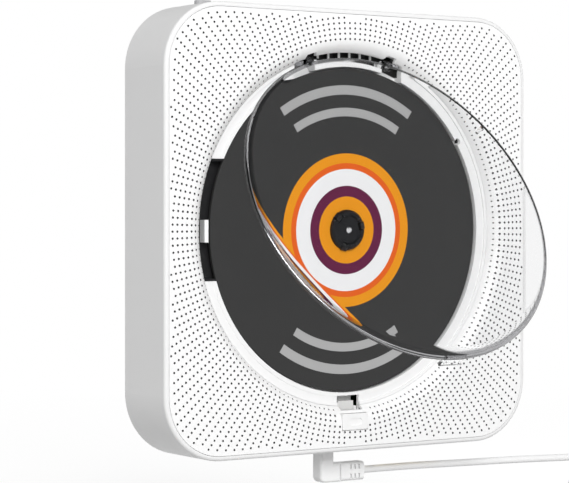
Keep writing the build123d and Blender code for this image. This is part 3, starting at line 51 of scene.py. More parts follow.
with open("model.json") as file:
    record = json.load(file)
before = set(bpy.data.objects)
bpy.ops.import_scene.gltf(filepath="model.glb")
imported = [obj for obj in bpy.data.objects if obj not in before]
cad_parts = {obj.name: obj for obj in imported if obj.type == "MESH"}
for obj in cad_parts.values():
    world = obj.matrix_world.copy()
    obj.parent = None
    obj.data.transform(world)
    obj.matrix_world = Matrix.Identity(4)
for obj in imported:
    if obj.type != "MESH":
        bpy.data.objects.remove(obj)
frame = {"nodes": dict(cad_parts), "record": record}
CAD_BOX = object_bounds()
MM = 0.001
FRONT = 29.0              # how far out the panel's front is

# ---- camera ----
IMAGE_W, IMAGE_H = 569, 483
SENSOR_W = 36.0
FOCAL_PX = 2097.0
CENTRE_PX = (278.2, 216.8)
CAMERA_AT = (-0.4556, -0.6615, 0.0083)
CAMERA_WAY = (0.5543, 0.8323, -0.0042)
CLIP_NEAR, CLIP_FAR = 0.01, 20


def make_camera():
    data = bpy.data.cameras.new("camera")
    data.sensor_width = SENSOR_W
    data.lens = FOCAL_PX * SENSOR_W / IMAGE_W
    data.shift_x = (IMAGE_W / 2 - CENTRE_PX[0]) / IMAGE_W
    data.shift_y = (CENTRE_PX[1] - IMAGE_H / 2) / IMAGE_W
    data.clip_start, data.clip_end = CLIP_NEAR, CLIP_FAR
    cam = bpy.data.objects.new("camera", data)
    bpy.context.scene.collection.objects.link(cam)
    cam.location = CAMERA_AT
    cam.rotation_mode = "QUATERNION"
    cam.rotation_quaternion = Vector(CAMERA_WAY).to_track_quat("-Z", "Y")
    bpy.context.scene.camera = cam


# ---- materials ----
# Each pair of places is where a tint starts and where it is full, or the other way round, in metres.
GLOSS_SPREAD = 0.12                  # share by which roughness wanders on a plain surface
GRAIN_DEEP = 0.0001
HINGE_UP, HINGE_OUT = 61.8, 23.0
HINGE_AT = (0, -HINGE_OUT * MM, HINGE_UP * MM)
LID_OPEN = 31.0                      # degrees that the lid stands open at rest
LID_RIM = (0.0608, 0.0612)           # radii at which the painted shade on the rim's wall comes in, with the lid shut
LID_RIM_END = (-0.0244, -0.0242)     # Y at which it ends, so that the hook and the arms stay clear
# painted shade: grey on the lid's rim wall, standing in for how the clear wall looks darker seen edge-on
RIM_PAINTED_SHADE = (0.4, 0.4, 0.41)
# painted shade: the near black that clear edges seen side-on turn to, standing in for the dark lines that
# refraction gives there
EDGE_PAINTED_SHADE = (0.05, 0.05, 0.05)
EDGE_FROM = 0.75                     # how far a clear surface turns from the eye before painted shade darkens it
CLEAR_SPREAD = 0.4
LET_THROUGH = 0.96                   # light that passes clear plastic straight on
POCKET_FROM = (0.0622, 0.0624)       # radii at which the painted shade deep in the hinge pocket comes in
POCKET_DEEP = (-0.0218, -0.0214)     # the same in Y
POCKET_UP = (0.052, 0.053)           # and in Z
POCKET_PAINTED_SHADE = (0.012, 0.012, 0.012)


def new_material(name):
    mat = bpy.data.materials.new(name)
    mat.use_nodes = True
    tree = mat.node_tree
    return mat, tree, tree.nodes["Principled BSDF"]


def add(tree, kind, **values):
    node = tree.nodes.new(kind)
    for key, value in values.items():
        setattr(node, key, value)
    return node


def noise(tree, scale, detail=3.0, stretch=None):
    coords = add(tree, "ShaderNodeTexCoord")
    node = add(tree, "ShaderNodeTexNoise")
    node.inputs["Scale"].default_value = scale
    node.inputs["Detail"].default_value = detail
    source = coords.outputs["Object"]
    if stretch:
        mapping = add(tree, "ShaderNodeMapping")
        mapping.inputs["Scale"].default_value = stretch
        tree.links.new(source, mapping.inputs["Vector"])
        source = mapping.outputs["Vector"]
    tree.links.new(source, node.inputs["Vector"])
    return node.outputs["Fac"]


def ranged(tree, source, low, high, start=0.3, end=0.7):
    node = add(tree, "ShaderNodeMapRange")
    node.inputs["From Min"].default_value = start
    node.inputs["From Max"].default_value = end
    node.inputs["To Min"].default_value = low
    node.inputs["To Max"].default_value = high
    tree.links.new(source, node.inputs["Value"])
    return node.outputs["Result"]


def tinted(tree, source, dark, light):
    node = add(tree, "ShaderNodeMix", data_type="RGBA")
    node.inputs["A"].default_value = (*dark, 1)
    node.inputs["B"].default_value = (*light, 1)
    tree.links.new(source, node.inputs["Factor"])
    return node.outputs["Result"]


def surface(
    name, colour, rough, mottle=0.03, patch=90.0, grain=2600.0, bump=0.06, metal=0.0, stretch=None, gloss=0.5,
):
    """Plastic, rubber or metal with mottled colour and gloss and a fine moulded or brushed grain."""
    mat, tree, shader = new_material(name)
    dark = [c * (1 - mottle) for c in colour]
    light = [min(1.0, c * (1 + mottle)) for c in colour]
    soft = noise(tree, patch, detail=4.0)
    tree.links.new(tinted(tree, soft, dark, light), shader.inputs["Base Color"])
    smooth, dull = rough * (1 - GLOSS_SPREAD), min(1.0, rough * (1 + GLOSS_SPREAD))
    tree.links.new(ranged(tree, soft, smooth, dull), shader.inputs["Roughness"])
    shader.inputs["Metallic"].default_value = metal
    shader.inputs["Specular IOR Level"].default_value = gloss
    height = add(tree, "ShaderNodeBump")
    height.inputs["Strength"].default_value = bump
    height.inputs["Distance"].default_value = GRAIN_DEEP
    tree.links.new(noise(tree, grain, detail=2.0, stretch=stretch), height.inputs["Height"])
    tree.links.new(height.outputs["Normal"], shader.inputs["Normal"])
    return mat


def any_ray(tree, *kinds):
    """One where the ray is of any of the kinds, else nought."""
    path = add(tree, "ShaderNodeLightPath")
    found = path.outputs[kinds[0]]
    for kind in kinds[1:]:
        either = add(tree, "ShaderNodeMath", operation="MAXIMUM")
        tree.links.new(found, either.inputs[0])
        tree.links.new(path.outputs[kind], either.inputs[1])
        found = either.outputs[0]
    return found


def product(tree, first, second):
    """One number times another, each a socket or a plain value."""
    node = add(tree, "ShaderNodeMath", operation="MULTIPLY")
    for slot, value in enumerate((first, second)):
        if isinstance(value, float):
            node.inputs[slot].default_value = value
        else:
            tree.links.new(value, node.inputs[slot])
    return node.outputs[0]


def radius_in(tree, turn=0.0, about=(0.0, 0.0, 0.0)):
    """Distance from the well's axis and Y along it, once the surface is turned about X through a point."""
    coords = add(tree, "ShaderNodeTexCoord")
    mapping = add(tree, "ShaderNodeMapping")
    centre = Vector(about)
    mapping.inputs["Rotation"].default_value = (turn, 0, 0)
    mapping.inputs["Location"].default_value = centre - Matrix.Rotation(turn, 3, "X") @ centre
    tree.links.new(coords.outputs["Object"], mapping.inputs["Vector"])
    flat = add(tree, "ShaderNodeVectorMath", operation="MULTIPLY")
    flat.inputs[1].default_value = (1, 0, 1)
    tree.links.new(mapping.outputs["Vector"], flat.inputs[0])
    length = add(tree, "ShaderNodeVectorMath", operation="LENGTH")
    tree.links.new(flat.outputs["Vector"], length.inputs[0])
    axes = add(tree, "ShaderNodeSeparateXYZ")
    tree.links.new(mapping.outputs["Vector"], axes.inputs[0])
    return length.outputs["Value"], axes.outputs["Y"]


def clear_plastic(name, tint, rough=0.015, ior=1.42, rim=None):
    """Clear moulded plastic: light passes it on its way to what it covers, and its edges get painted shade.
    """
    mat, tree, shader = new_material(name)
    facing = add(tree, "ShaderNodeLayerWeight")
    facing.inputs["Blend"].default_value = 0.5
    # painted shade: the colour darkens towards the edge shade as the surface turns from the eye
    edge = ranged(tree, facing.outputs["Facing"], 0.0, 1.0, EDGE_FROM, 1.0)
    colour = tinted(tree, edge, tint, EDGE_PAINTED_SHADE)
    if rim:
        # painted shade: grey on the rim's wall, out from its radius and up to its end
        radius, along = radius_in(tree, radians(LID_OPEN), HINGE_AT)
        wall = ranged(tree, radius, 0.0, 1.0, *rim)
        above = ranged(tree, along, 1.0, 0.0, *LID_RIM_END)
        colour = tinted(tree, product(tree, wall, above), tint, RIM_PAINTED_SHADE)
        # painted shade on the edges goes over the rim's painted shade
        painted_edge_shade = add(tree, "ShaderNodeMix", data_type="RGBA")
        painted_edge_shade.inputs["B"].default_value = (*EDGE_PAINTED_SHADE, 1)
        tree.links.new(edge, painted_edge_shade.inputs["Factor"])
        tree.links.new(colour, painted_edge_shade.inputs["A"])
        colour = painted_edge_shade.outputs["Result"]
    tree.links.new(colour, shader.inputs["Base Color"])
    shader.inputs["Transmission Weight"].default_value = 1.0
    shader.inputs["IOR"].default_value = ior
    smooth, dull = rough * (1 - CLEAR_SPREAD), rough * (1 + CLEAR_SPREAD)
    tree.links.new(ranged(tree, noise(tree, scale=70.0), smooth, dull), shader.inputs["Roughness"])
    through = add(tree, "ShaderNodeBsdfTransparent")
    through.inputs["Color"].default_value = (LET_THROUGH, LET_THROUGH, LET_THROUGH, 1)
    either = add(tree, "ShaderNodeMixShader")
    tree.links.new(any_ray(tree, "Is Shadow Ray", "Is Diffuse Ray"), either.inputs["Fac"])
    tree.links.new(shader.outputs["BSDF"], either.inputs[1])
    tree.links.new(through.outputs["BSDF"], either.inputs[2])
    tree.links.new(either.outputs["Shader"], tree.nodes["Material Output"].inputs["Surface"])
    return mat


def print_ink(name, colour, mottle=0.02):
    """An ink of the disc's print."""
    return surface("print_" + name, colour, 0.42, mottle=mottle, bump=0.02, gloss=0.12)


def tray_plastic_with_painted_shade(name, colour, rough):
    """White plastic with painted shade deep in the hinge pocket, where the real one's slots open into the
    dark inside.
    """
    mat = surface(name, colour, rough, mottle=0.01)
    tree = mat.node_tree
    shader = tree.nodes["Principled BSDF"]
    white = shader.inputs["Base Color"].links[0].from_socket
    radius, along = radius_in(tree)
    outside = ranged(tree, radius, 0.0, 1.0, *POCKET_FROM)
    coords = add(tree, "ShaderNodeTexCoord")
    axes = add(tree, "ShaderNodeSeparateXYZ")
    tree.links.new(coords.outputs["Object"], axes.inputs[0])
    deep = ranged(tree, along, 0.0, 1.0, *POCKET_DEEP)
    high = ranged(tree, axes.outputs["Z"], 0.0, 1.0, *POCKET_UP)
    # painted shade: the pocket's base colour goes near black deep inside, where the real slots lie in shade
    dark = add(tree, "ShaderNodeMix", data_type="RGBA")
    dark.inputs["B"].default_value = (*POCKET_PAINTED_SHADE, 1)
    tree.links.new(product(tree, product(tree, outside, deep), high), dark.inputs["Factor"])
    tree.links.new(white, dark.inputs["A"])
    tree.links.new(dark.outputs["Result"], shader.inputs["Base Color"])
    return mat


SLOTS = {
    "white_case": surface("white_case", (0.84, 0.84, 0.84), 0.42, mottle=0.01),
    "white_front": surface("white_front", (0.92, 0.92, 0.92), 0.42, mottle=0.01),
    "white_key": surface("white_key", (0.9, 0.9, 0.9), 0.35, mottle=0.01),
    "grey_key": surface("grey_key", (0.42, 0.42, 0.43), 0.32),
    "inner_plastic": surface("inner_plastic", (0.72, 0.72, 0.71), 0.5),
    "clear": clear_plastic("clear", (0.995, 0.997, 1.0), rim=LID_RIM),
    "pad": surface("pad", (0.06, 0.06, 0.06), 0.85, grain=900.0, bump=0.3),
    "damper": surface("damper", (0.04, 0.04, 0.04), 0.7, grain=1200.0, bump=0.25),
    "screw": surface("screw", (0.5, 0.5, 0.5), 0.35, metal=1.0),
    "steel": surface("steel", (0.62, 0.62, 0.63), 0.28, metal=1.0, stretch=(1, 12, 12)),
    "spring_steel": surface("spring_steel", (0.5, 0.5, 0.52), 0.3, metal=1.0),
    "recess_grey": surface("recess_grey", (0.012, 0.012, 0.013), 0.55, gloss=0.2),
    "black_plastic": surface("black_plastic", (0.02, 0.02, 0.02), 0.45),
    "hub_black": surface("hub_black", (0.009, 0.0095, 0.011), 0.38, mottle=0.12, gloss=0.15),
    "clip_plastic": surface("clip_plastic", (0.005, 0.005, 0.006), 0.3, gloss=0.3),
    "motor_can": surface("motor_can", (0.5, 0.5, 0.5), 0.35, metal=1.0, stretch=(12, 12, 1)),
    "frame_black": surface("frame_black", (0.03, 0.03, 0.03), 0.6),
    "gear_plastic": surface("gear_plastic", (0.75, 0.73, 0.66), 0.45),
    "sled_black": surface("sled_black", (0.03, 0.03, 0.03), 0.55),
    "lens_glass": clear_plastic("lens_glass", (0.75, 0.85, 1.0), ior=1.6),
    "board": surface("board", (0.02, 0.13, 0.05), 0.35, mottle=0.2, patch=300.0),
    "window_dark": surface("window_dark", (0.008, 0.008, 0.009), 0.12),
    "cone": surface("cone", (0.03, 0.03, 0.03), 0.8, grain=1500.0, bump=0.4),
    "magnet": surface("magnet", (0.06, 0.06, 0.06), 0.6, mottle=0.2),
    "cord_white": surface("cord_white", (0.91, 0.91, 0.91), 0.42, mottle=0.015, grain=1800.0, bump=0.1),
    "disc": surface("disc", (0.041, 0.041, 0.041), 0.45, mottle=0.03, patch=40.0, bump=0.02, gloss=0.1),
}
# the tray's white, with painted shade in the hinge pocket
TRAY_WHITE = tray_plastic_with_painted_shade("tray_white", (0.88, 0.88, 0.88), 0.42)
# painted shade: the grey of the grille holes' walls and floors, where the real holes open into shade
HOLE_PAINTED_SHADE = surface("hole_painted_shade", (0.19, 0.19, 0.19), 0.9)
DISC_SILVER = surface("disc_silver", (0.7, 0.7, 0.72), 0.12, metal=1.0)
PRINT = {
    "grey": print_ink("grey", (0.41, 0.41, 0.41)),
    "orange": print_ink("orange", (0.84, 0.315, 0.012)),
    "deep_orange": print_ink("deep_orange", (0.80, 0.125, 0.015)),
    "white": print_ink("white", (0.90, 0.90, 0.91), mottle=0.01),
    "purple": print_ink("purple", (0.122, 0.014, 0.055), mottle=0.03),
}


# ---- mesh helpers ----
def stand(x, up, out):
    """A point given as seen from the front, in millimetres."""
    return Vector((x * MM, -out * MM, up * MM))


def mesh_object(name, verts, faces, materials, body, face_material=None, smooth=False):
    """A piece of the scene that rides a body; face_material has one material's index for each face."""
    mesh = bpy.data.meshes.new(name)
    mesh.from_pydata([tuple(v) for v in verts], [], faces)
    for mat in materials:
        mesh.materials.append(mat)
    if face_material:
        mesh.polygons.foreach_set("material_index", face_material)
    mesh.polygons.foreach_set("use_smooth", [smooth] * len(mesh.polygons))
    obj = bpy.data.objects.new(name, mesh)
    bpy.context.scene.collection.objects.link(obj)
    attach(obj, body)
    return obj


def turn_faces_out(mesh):
    bm = bmesh.new()
    bm.from_mesh(mesh)
    bmesh.ops.recalc_face_normals(bm, faces=bm.faces)
    bm.to_mesh(mesh)
    bm.free()


# ---- grille ----
PANEL_HALF, PANEL_CORNER, PANEL_T = 80.15, 21.75, 2.0
FLARE_TOP, FLARE_ARC, FLARE_LOW = 72.0, 7.0, 65.61
FLARE_WALL = 1.6
RING_FIRST, RING_PITCH, RING_COUNT = 69.05, 1.965, 18
FAINT_RING, FAINT_R = 67.0, 0.28
LINES = 200
HOLE_R, HOLE_SIDES, HOLE_DEEP = 0.44, 10, 1.3
HOLE_REACH_X, HOLE_REACH_UP, HOLE_CORNER = 79.5, 78.8, 20.6
BUTTON = (-5.95, 5.95, -74.3, -67.9)                   # the button's hole: left, right, low and high
HOOK_SLOT_HALF, HOOK_SLOT_LOW = 5.0, -67.0
ARM_NOTCHES = [(-20.2, -15.8), (15.8, 20.2)]
NOTCH_R, SLOT_R, SLOT_HALF = 67.6, 66.2, 24.4
NOTCH_ROOM = 0.8
BARE_HALF, BARE_LOW, BARE_HIGH = 6.8, -74.7, -59.0     # no holes here, round the button and the hook's slot
INNER_STEPS, HOOK_STEPS, BUTTON_STEPS = 720, 5, 6
SAME_POINT = 1e-6
CURVE_FIRST, CURVE_PITCH, CURVE_RINGS, CURVE_STEPS = 66.1, 0.55, 11, 400
OPEN_HALF, OPEN_UP, OPEN_R = 25.5, 50, 70              # no curve points by the slots above and below
HOLE_ROOM = 0.15


def flare_out(r):
    """Distance from the wall of the panel's front at radius r."""
    if r >= FLARE_TOP:
        return FRONT
    return FRONT - FLARE_ARC + sqrt(max(0.0, FLARE_ARC ** 2 - (FLARE_TOP - r) ** 2))


def in_square(x, y, half_x, half_y, corner):
    dx, dy = abs(x) - (half_x - corner), abs(y) - (half_y - corner)
    if dx > 0 and dy > 0:
        return dx * dx + dy * dy <= corner * corner
    return dx <= corner and dy <= corner


def hole_centres():
    """Holes on radial lines about the well, inside the panel's border and clear of its openings."""
    found = []
    for k in range(-1, RING_COUNT):
        ring = FAINT_RING if k < 0 else RING_FIRST + RING_PITCH * k
        r_hole = FAINT_R if k < 0 else HOLE_R
        for line in range(LINES):
            a = 2 * pi * line / LINES
            x, y = ring * cos(a), ring * sin(a)
            if not in_square(x, y, HOLE_REACH_X, HOLE_REACH_UP, HOLE_CORNER):
                continue
            if abs(x) < BARE_HALF and BARE_LOW < y < BARE_HIGH:
                continue
            if k < 1 and y > 0 and abs(x) < SLOT_HALF:
                continue
            found.append((x, y, r_hole))
    return found


def square_loop(half, corner, per_corner=16, run_step=4.0):
    """Points round a square with rounded corners."""
    points = []
    for q in range(4):
        cx = (half - corner) * (1 if q in (0, 3) else -1)
        cy = (half - corner) * (1 if q in (0, 1) else -1)
        for k in range(per_corner + 1):
            a = pi / 2 * (q + k / per_corner)
            points.append((cx + corner * cos(a), cy + corner * sin(a)))
        nx, ny = points[-1]
        a = pi / 2 * (q + 1)
        ex = (half - corner) * (1 if (q + 1) % 4 in (0, 3) else -1) + corner * cos(a)
        ey = (half - corner) * (1 if (q + 1) % 4 in (0, 1) else -1) + corner * sin(a)
        steps = int(max(abs(ex - nx), abs(ey - ny)) / run_step)
        points += [(nx + (ex - nx) * s / steps, ny + (ey - ny) * s / steps) for s in range(1, steps)]
    return points


def box_loop(x0, x1, y0, y1, steps):
    """Points round a rectangle, from its lower left corner."""
    corners = [(x0, y0), (x1, y0), (x1, y1), (x0, y1)]
    points = []
    for (ax, ay), (bx, by) in zip(corners, corners[1:] + corners[:1]):
        points += [(ax + (bx - ax) * s / steps, ay + (by - ay) * s / steps) for s in range(steps)]
    return points


def inner_loop():
    """The panel's inner edge as seen from the front, with its notches."""
    points = []

    def edge_r(x, y):
        if y > 0 and any(low <= x <= high for low, high in ARM_NOTCHES):
            return NOTCH_R
        if y > 0 and abs(x) <= SLOT_HALF:
            return SLOT_R
        return FLARE_LOW

    slot_drawn = False
    for k in range(INNER_STEPS):
        a = 2 * pi * k / INNER_STEPS
        x, y = FLARE_LOW * cos(a), FLARE_LOW * sin(a)
        if y < 0 and abs(x) < HOOK_SLOT_HALF:
            if not slot_drawn:
                mouth = -sqrt(FLARE_LOW ** 2 - HOOK_SLOT_HALF ** 2)
                across = [HOOK_SLOT_HALF * (s / HOOK_STEPS - 1) for s in range(2 * HOOK_STEPS + 1)]
                points.append((-HOOK_SLOT_HALF, mouth))
                points += [(side, HOOK_SLOT_LOW) for side in across]
                points.append((HOOK_SLOT_HALF, mouth))
            slot_drawn = True
            continue
        r = edge_r(x, y)
        points.append((r * cos(a), r * sin(a)))
    return points


def in_loop(x, y, loop):
    inside = False
    x0, y0 = loop[-1]
    for x1, y1 in loop:
        if (y0 > y) != (y1 > y) and x < (x1 - x0) * (y - y0) / (y1 - y0) + x0:
            inside = not inside
        x0, y0 = x1, y1
    return inside


def past_notches(x, y):
    """Whether a point is further out than all of the inner edge, so that no test against it is needed."""
    return x * x + y * y > (NOTCH_R + NOTCH_ROOM) ** 2


def panel_sheet(loops, extra, hole_loops):
    """Triangles between the outer, inner and button loops, with the holes left open.

    Gives the flat points, the triangles and where each point that was handed in has gone."""
    points, edges, owner = [], [], []
    for index, loop in [(-1, loop) for loop in loops] + list(enumerate(hole_loops)):
        first = len(points)
        points += loop
        owner += [index] * len(loop)
        edges += [(first + k, first + (k + 1) % len(loop)) for k in range(len(loop))]
    points += extra
    owner += [-1] * len(extra)
    flat = [Vector(p) for p in points]
    verts, _, faces, origins, _, _ = delaunay_2d_cdt(flat, edges, [], 0, SAME_POINT, True)
    holder = [owner[o[0]] if o else -1 for o in origins]
    back = {}
    for new, old in enumerate(origins):
        for o in old:
            back[o] = new
    kept = []
    inner = loops[1]
    for tri in faces:
        owners = {holder[v] for v in tri}
        if len(owners) == 1 and owners != {-1}:
            continue
        x = sum(verts[v].x for v in tri) / 3
        y = sum(verts[v].y for v in tri) / 3
        if not past_notches(x, y) and in_loop(x, y, inner):
            continue
        if BUTTON[0] < x < BUTTON[1] and BUTTON[2] < y < BUTTON[3]:
            continue
        if not in_square(x, y, PANEL_HALF, PANEL_HALF, PANEL_CORNER):
            continue
        kept.append(tuple(tri))
    return verts, kept, back


def front_normal(x, y):
    """Normal of the panel's front, so that the flare looks round."""
    r = sqrt(x * x + y * y)
    if r >= FLARE_TOP:
        return Vector((0, -1, 0))
    side, ahead = (r - FLARE_TOP) / FLARE_ARC, (flare_out(r) - FRONT + FLARE_ARC) / FLARE_ARC
    return Vector((side * x / r, -ahead, side * y / r))


def curve_points():
    """Points that let the sheet follow the flare, clear of the holes and of the slots above and below."""
    points = []
    for index in range(CURVE_RINGS):
        r = CURVE_FIRST + CURVE_PITCH * index
        for k in range(CURVE_STEPS):
            a = 2 * pi * (k + 0.5 * (index % 2)) / CURVE_STEPS
            x, y = r * cos(a), r * sin(a)
            if abs(x) < OPEN_HALF and abs(y) > OPEN_UP and r < OPEN_R:
                continue
            line = round(a / (2 * pi) * LINES) * 2 * pi / LINES
            clash = any(
                (x - ring * cos(line)) ** 2 + (y - ring * sin(line)) ** 2 < (HOLE_R + HOLE_ROOM) ** 2
                for ring in (FAINT_RING, RING_FIRST, RING_FIRST + RING_PITCH)
            )
            if not clash:
                points.append((x, y))
    return points


def make_grille():
    """The front panel: its sheet, the small blind holes with painted shade on their walls and floors, the
    edges down to the back and the back.
    """
    holes = hole_centres()
    outer, inner = square_loop(PANEL_HALF, PANEL_CORNER), inner_loop()
    button = box_loop(*BUTTON, BUTTON_STEPS)
    hole_loops = [
        [
            (x + r * cos(2 * pi * s / HOLE_SIDES), y + r * sin(2 * pi * s / HOLE_SIDES))
            for s in range(HOLE_SIDES)
        ]
        for x, y, r in holes
    ]
    sheet, front, back = panel_sheet([outer, inner, button], curve_points(), hole_loops)
    verts = [stand(v.x, v.y, flare_out(v.length)) for v in sheet]
    faces = list(front)
    materials = [SLOTS["white_front"], HOLE_PAINTED_SHADE]
    # the holes' walls and floors take the painted shade
    white, dark = 0, 1
    kinds = [white] * len(faces)
    first_hole = len(outer) + len(inner) + len(button)
    for index, (x, y, r) in enumerate(holes):
        top = [back[first_hole + index * HOLE_SIDES + s] for s in range(HOLE_SIDES)]
        base = len(verts)
        deep = flare_out(sqrt(x * x + y * y)) - HOLE_DEEP
        verts += [stand(px, py, deep) for px, py in hole_loops[index]]
        for s in range(HOLE_SIDES):
            t = (s + 1) % HOLE_SIDES
            faces.append((top[s], top[t], base + t, base + s))
            kinds.append(dark)
        faces.append(tuple(base + s for s in range(HOLE_SIDES)))
        kinds.append(dark)
    # the back, and the edges down to it
    rear, rear_faces, rear_back = panel_sheet([outer, inner, button], [], [])
    base = len(verts)
    for v in rear:
        r = v.length
        verts.append(stand(v.x, v.y, flare_out(r) - (PANEL_T if r > FLARE_TOP else FLARE_WALL)))
    faces += [tuple(base + v for v in reversed(tri)) for tri in rear_faces]
    kinds += [white] * len(rear_faces)
    first = 0
    for loop in (outer, inner, button):
        for k in range(len(loop)):
            a, b = first + k, first + (k + 1) % len(loop)
            faces.append((back[a], back[b], base + rear_back[b], base + rear_back[a]))
            kinds.append(white)
        first += len(loop)
    obj = mesh_object("grille_panel", verts, faces, materials, "case", kinds)
    mesh = obj.data
    turn_faces_out(mesh)
    corner_normals = []
    for poly in mesh.polygons:
        front_face = poly.index < len(front)
        for loop_index in poly.loop_indices:
            co = mesh.vertices[mesh.loops[loop_index].vertex_index].co
            corner_normals.append(front_normal(co.x / MM, co.z / MM) if front_face else poly.normal.copy())
    mesh.normals_split_custom_set(corner_normals)
    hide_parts("front_grille")


# ---- disc ----
DISC_OUT, DISC_THICK = 23.4, 1.2
DISC_EDGES = [7.5, 12.35, 16.3, 22.5, 24.7, 28.3, 42.1, 45.3, 50.2, 53.7, 59.85, 60.0]
DISC_BANDS = [
    "orange", "purple", "white", "deep_orange", "orange",
    "dark", "inner_arc", "dark", "outer_arc", "dark", "dark",
]
DISC_BEHIND = ["dark", "silver", "dark"]               # the outer edge, the back and the hole's wall
ARC_HALF = {"inner_arc": 32, "outer_arc": 34}          # degrees to each side of straight up and down
DISC_DROP = 0.15
DISC_STEPS = 360


def make_disc():
    """The disc with its plain printed rings and arcs."""
    names = ["dark", "grey", "orange", "deep_orange", "white", "purple", "silver"]
    mats = [SLOTS["disc"]] + [PRINT[n] for n in names[1:6]] + [DISC_SILVER]
    verts, faces, kinds = [], [], []
    for k in range(DISC_STEPS):
        a = 2 * pi * k / DISC_STEPS
        for index, r in enumerate(DISC_EDGES):
            drop = DISC_DROP if index == len(DISC_EDGES) - 1 else 0.0
            verts.append(stand(r * cos(a), r * sin(a), DISC_OUT - drop))
        verts.append(stand(DISC_EDGES[-1] * cos(a), DISC_EDGES[-1] * sin(a), DISC_OUT - DISC_THICK))
        verts.append(stand(DISC_EDGES[0] * cos(a), DISC_EDGES[0] * sin(a), DISC_OUT - DISC_THICK))
    bands = DISC_BANDS + DISC_BEHIND
    per = len(bands)
    for k in range(DISC_STEPS):
        here, there = k * per, (k + 1) % DISC_STEPS * per
        past_pole = ((k + 0.5) * 360 / DISC_STEPS - 90) % 180
        from_pole = min(past_pole, 180 - past_pole)
        for j, band in enumerate(bands):
            n = (j + 1) % per
            if band in ARC_HALF:
                band = "grey" if from_pole < ARC_HALF[band] else "dark"
            faces.append((here + j, there + j, there + n, here + n))
            kinds.append(names.index(band))
    obj = mesh_object("printed_disc", verts, faces, mats, "turntable", kinds)
    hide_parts("compact_disc")


# ---- lid ----
LID_R, LID_FACE, LID_BACK, LID_END = 63.2, 27.2, 25.8, 24.5
LID_WALL = 1.0
LID_CROWN, LID_CROWN_DROP, CROWN_STEPS = 4.0, 2.0, 12
LID_STEPS = 240
ARM_X = (16.4, 19.6)
ARM_WEB = [(60.2, 23.0), (60.2, 26.0), (62.4, 26.0), (63.4, 23.0)]
KNUCKLE_R, KNUCKLE_BORE, KNUCKLE_STEPS = 2.2, 0.85, 32
HOOK_HALF = 4.4
HOOK = [
    (-61.8, 26.0), (-61.8, 20.0), (-63.0, 20.0), (-63.7, 21.2),
    (-63.7, 21.8), (-63.0, 21.8), (-63.0, 26.0),
]
PIN_AT, PIN_R, PIN_OUT, PIN_STEPS = (51.49, 33.44), 0.75, (21.4, 26.0), 20
SHARP_ANGLE = 35.0


def circle_points(x, y, r, steps):
    return [(x + r * cos(2 * pi * k / steps), y + r * sin(2 * pi * k / steps)) for k in range(steps)]


def lathe(profile, steps):
    """Closed form of revolution about the well's axis; the profile starts and ends on that axis."""
    rings = profile[1:-1]
    verts = [stand(0, 0, profile[0][1]), stand(0, 0, profile[-1][1])]
    for r, out in rings:
        verts += [stand(x, up, out) for x, up in circle_points(0, 0, r, steps)]
    faces = []
    for k in range(steps):
        here, there = 2 + k, 2 + (k + 1) % steps
        faces.append((0, here, there))
        for level in range(len(rings) - 1):
            low, high = level * steps, (level + 1) * steps
            faces.append((here + low, here + high, there + high, there + low))
        last = (len(rings) - 1) * steps
        faces.append((1, there + last, here + last))
    return verts, faces


def prism(outline, low, high, place, bore=None):
    """Closed straight form of an outline between two levels, with a bore of as many points if given."""
    loops = [outline] + ([bore] if bore else [])
    verts = [place(a, b, level) for loop in loops for level in (low, high) for a, b in loop]
    count = len(outline)
    faces = []
    walls = [(0, 1)] + ([(2 * count, -1)] if bore else [])
    for first, turn in walls:
        for k in range(count):
            n = (k + 1) % count
            faces.append((first + k, first + n, first + count + n, first + count + k)[::turn])
    if bore:
        for level, turn in ((0, -1), (count, 1)):
            for k in range(count):
                n = (k + 1) % count
                ring = (level + k, level + n, level + 2 * count + n, level + 2 * count + k)
                faces.append(ring[::turn])
    else:
        faces.append(tuple(reversed(range(count))))
        faces.append(tuple(range(count, 2 * count)))
    return verts, faces


def make_lid():
    """The clear lid with its arms, hook and pin. Its crowned edge bends the view of what lies behind."""
    crown = [
        (LID_R - LID_CROWN + LID_CROWN * sin(t), LID_FACE - LID_CROWN_DROP * (1 - cos(t)))
        for t in (pi / 2 * k / CROWN_STEPS for k in range(CROWN_STEPS + 1))
    ]
    inside = LID_R - LID_WALL
    profile = [(0, LID_FACE), *crown, (LID_R, LID_END), (inside, LID_END), (inside, LID_BACK), (0, LID_BACK)]
    forms = [lathe(profile, LID_STEPS)]

    def across(up, out, x):
        return stand(x, up, out)

    knuckle = circle_points(HINGE_UP, HINGE_OUT, KNUCKLE_R, KNUCKLE_STEPS)
    bore = circle_points(HINGE_UP, HINGE_OUT, KNUCKLE_BORE, KNUCKLE_STEPS)
    for side in (-1, 1):
        low, high = sorted(side * x for x in ARM_X)
        forms.append(prism(knuckle, low, high, across, bore))
        forms.append(prism(ARM_WEB, low, high, across))
    forms.append(prism(HOOK, -HOOK_HALF, HOOK_HALF, across))
    forms.append(prism(circle_points(*PIN_AT, PIN_R, PIN_STEPS), *PIN_OUT, stand))
    about = Vector(HINGE_AT)
    open_turn = Matrix.Rotation(radians(-LID_OPEN), 3, "X")
    verts, faces = [], []
    for form_verts, form_faces in forms:
        base = len(verts)
        verts += [about + open_turn @ (v - about) for v in form_verts]
        faces += [tuple(base + v for v in face) for face in form_faces]
    obj = mesh_object("clear_cover", verts, faces, [SLOTS["clear"]], "lid", smooth=True)
    turn_faces_out(obj.data)
    obj.data.set_sharp_from_angle(angle=radians(SHARP_ANGLE))
    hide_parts("clear_lid")


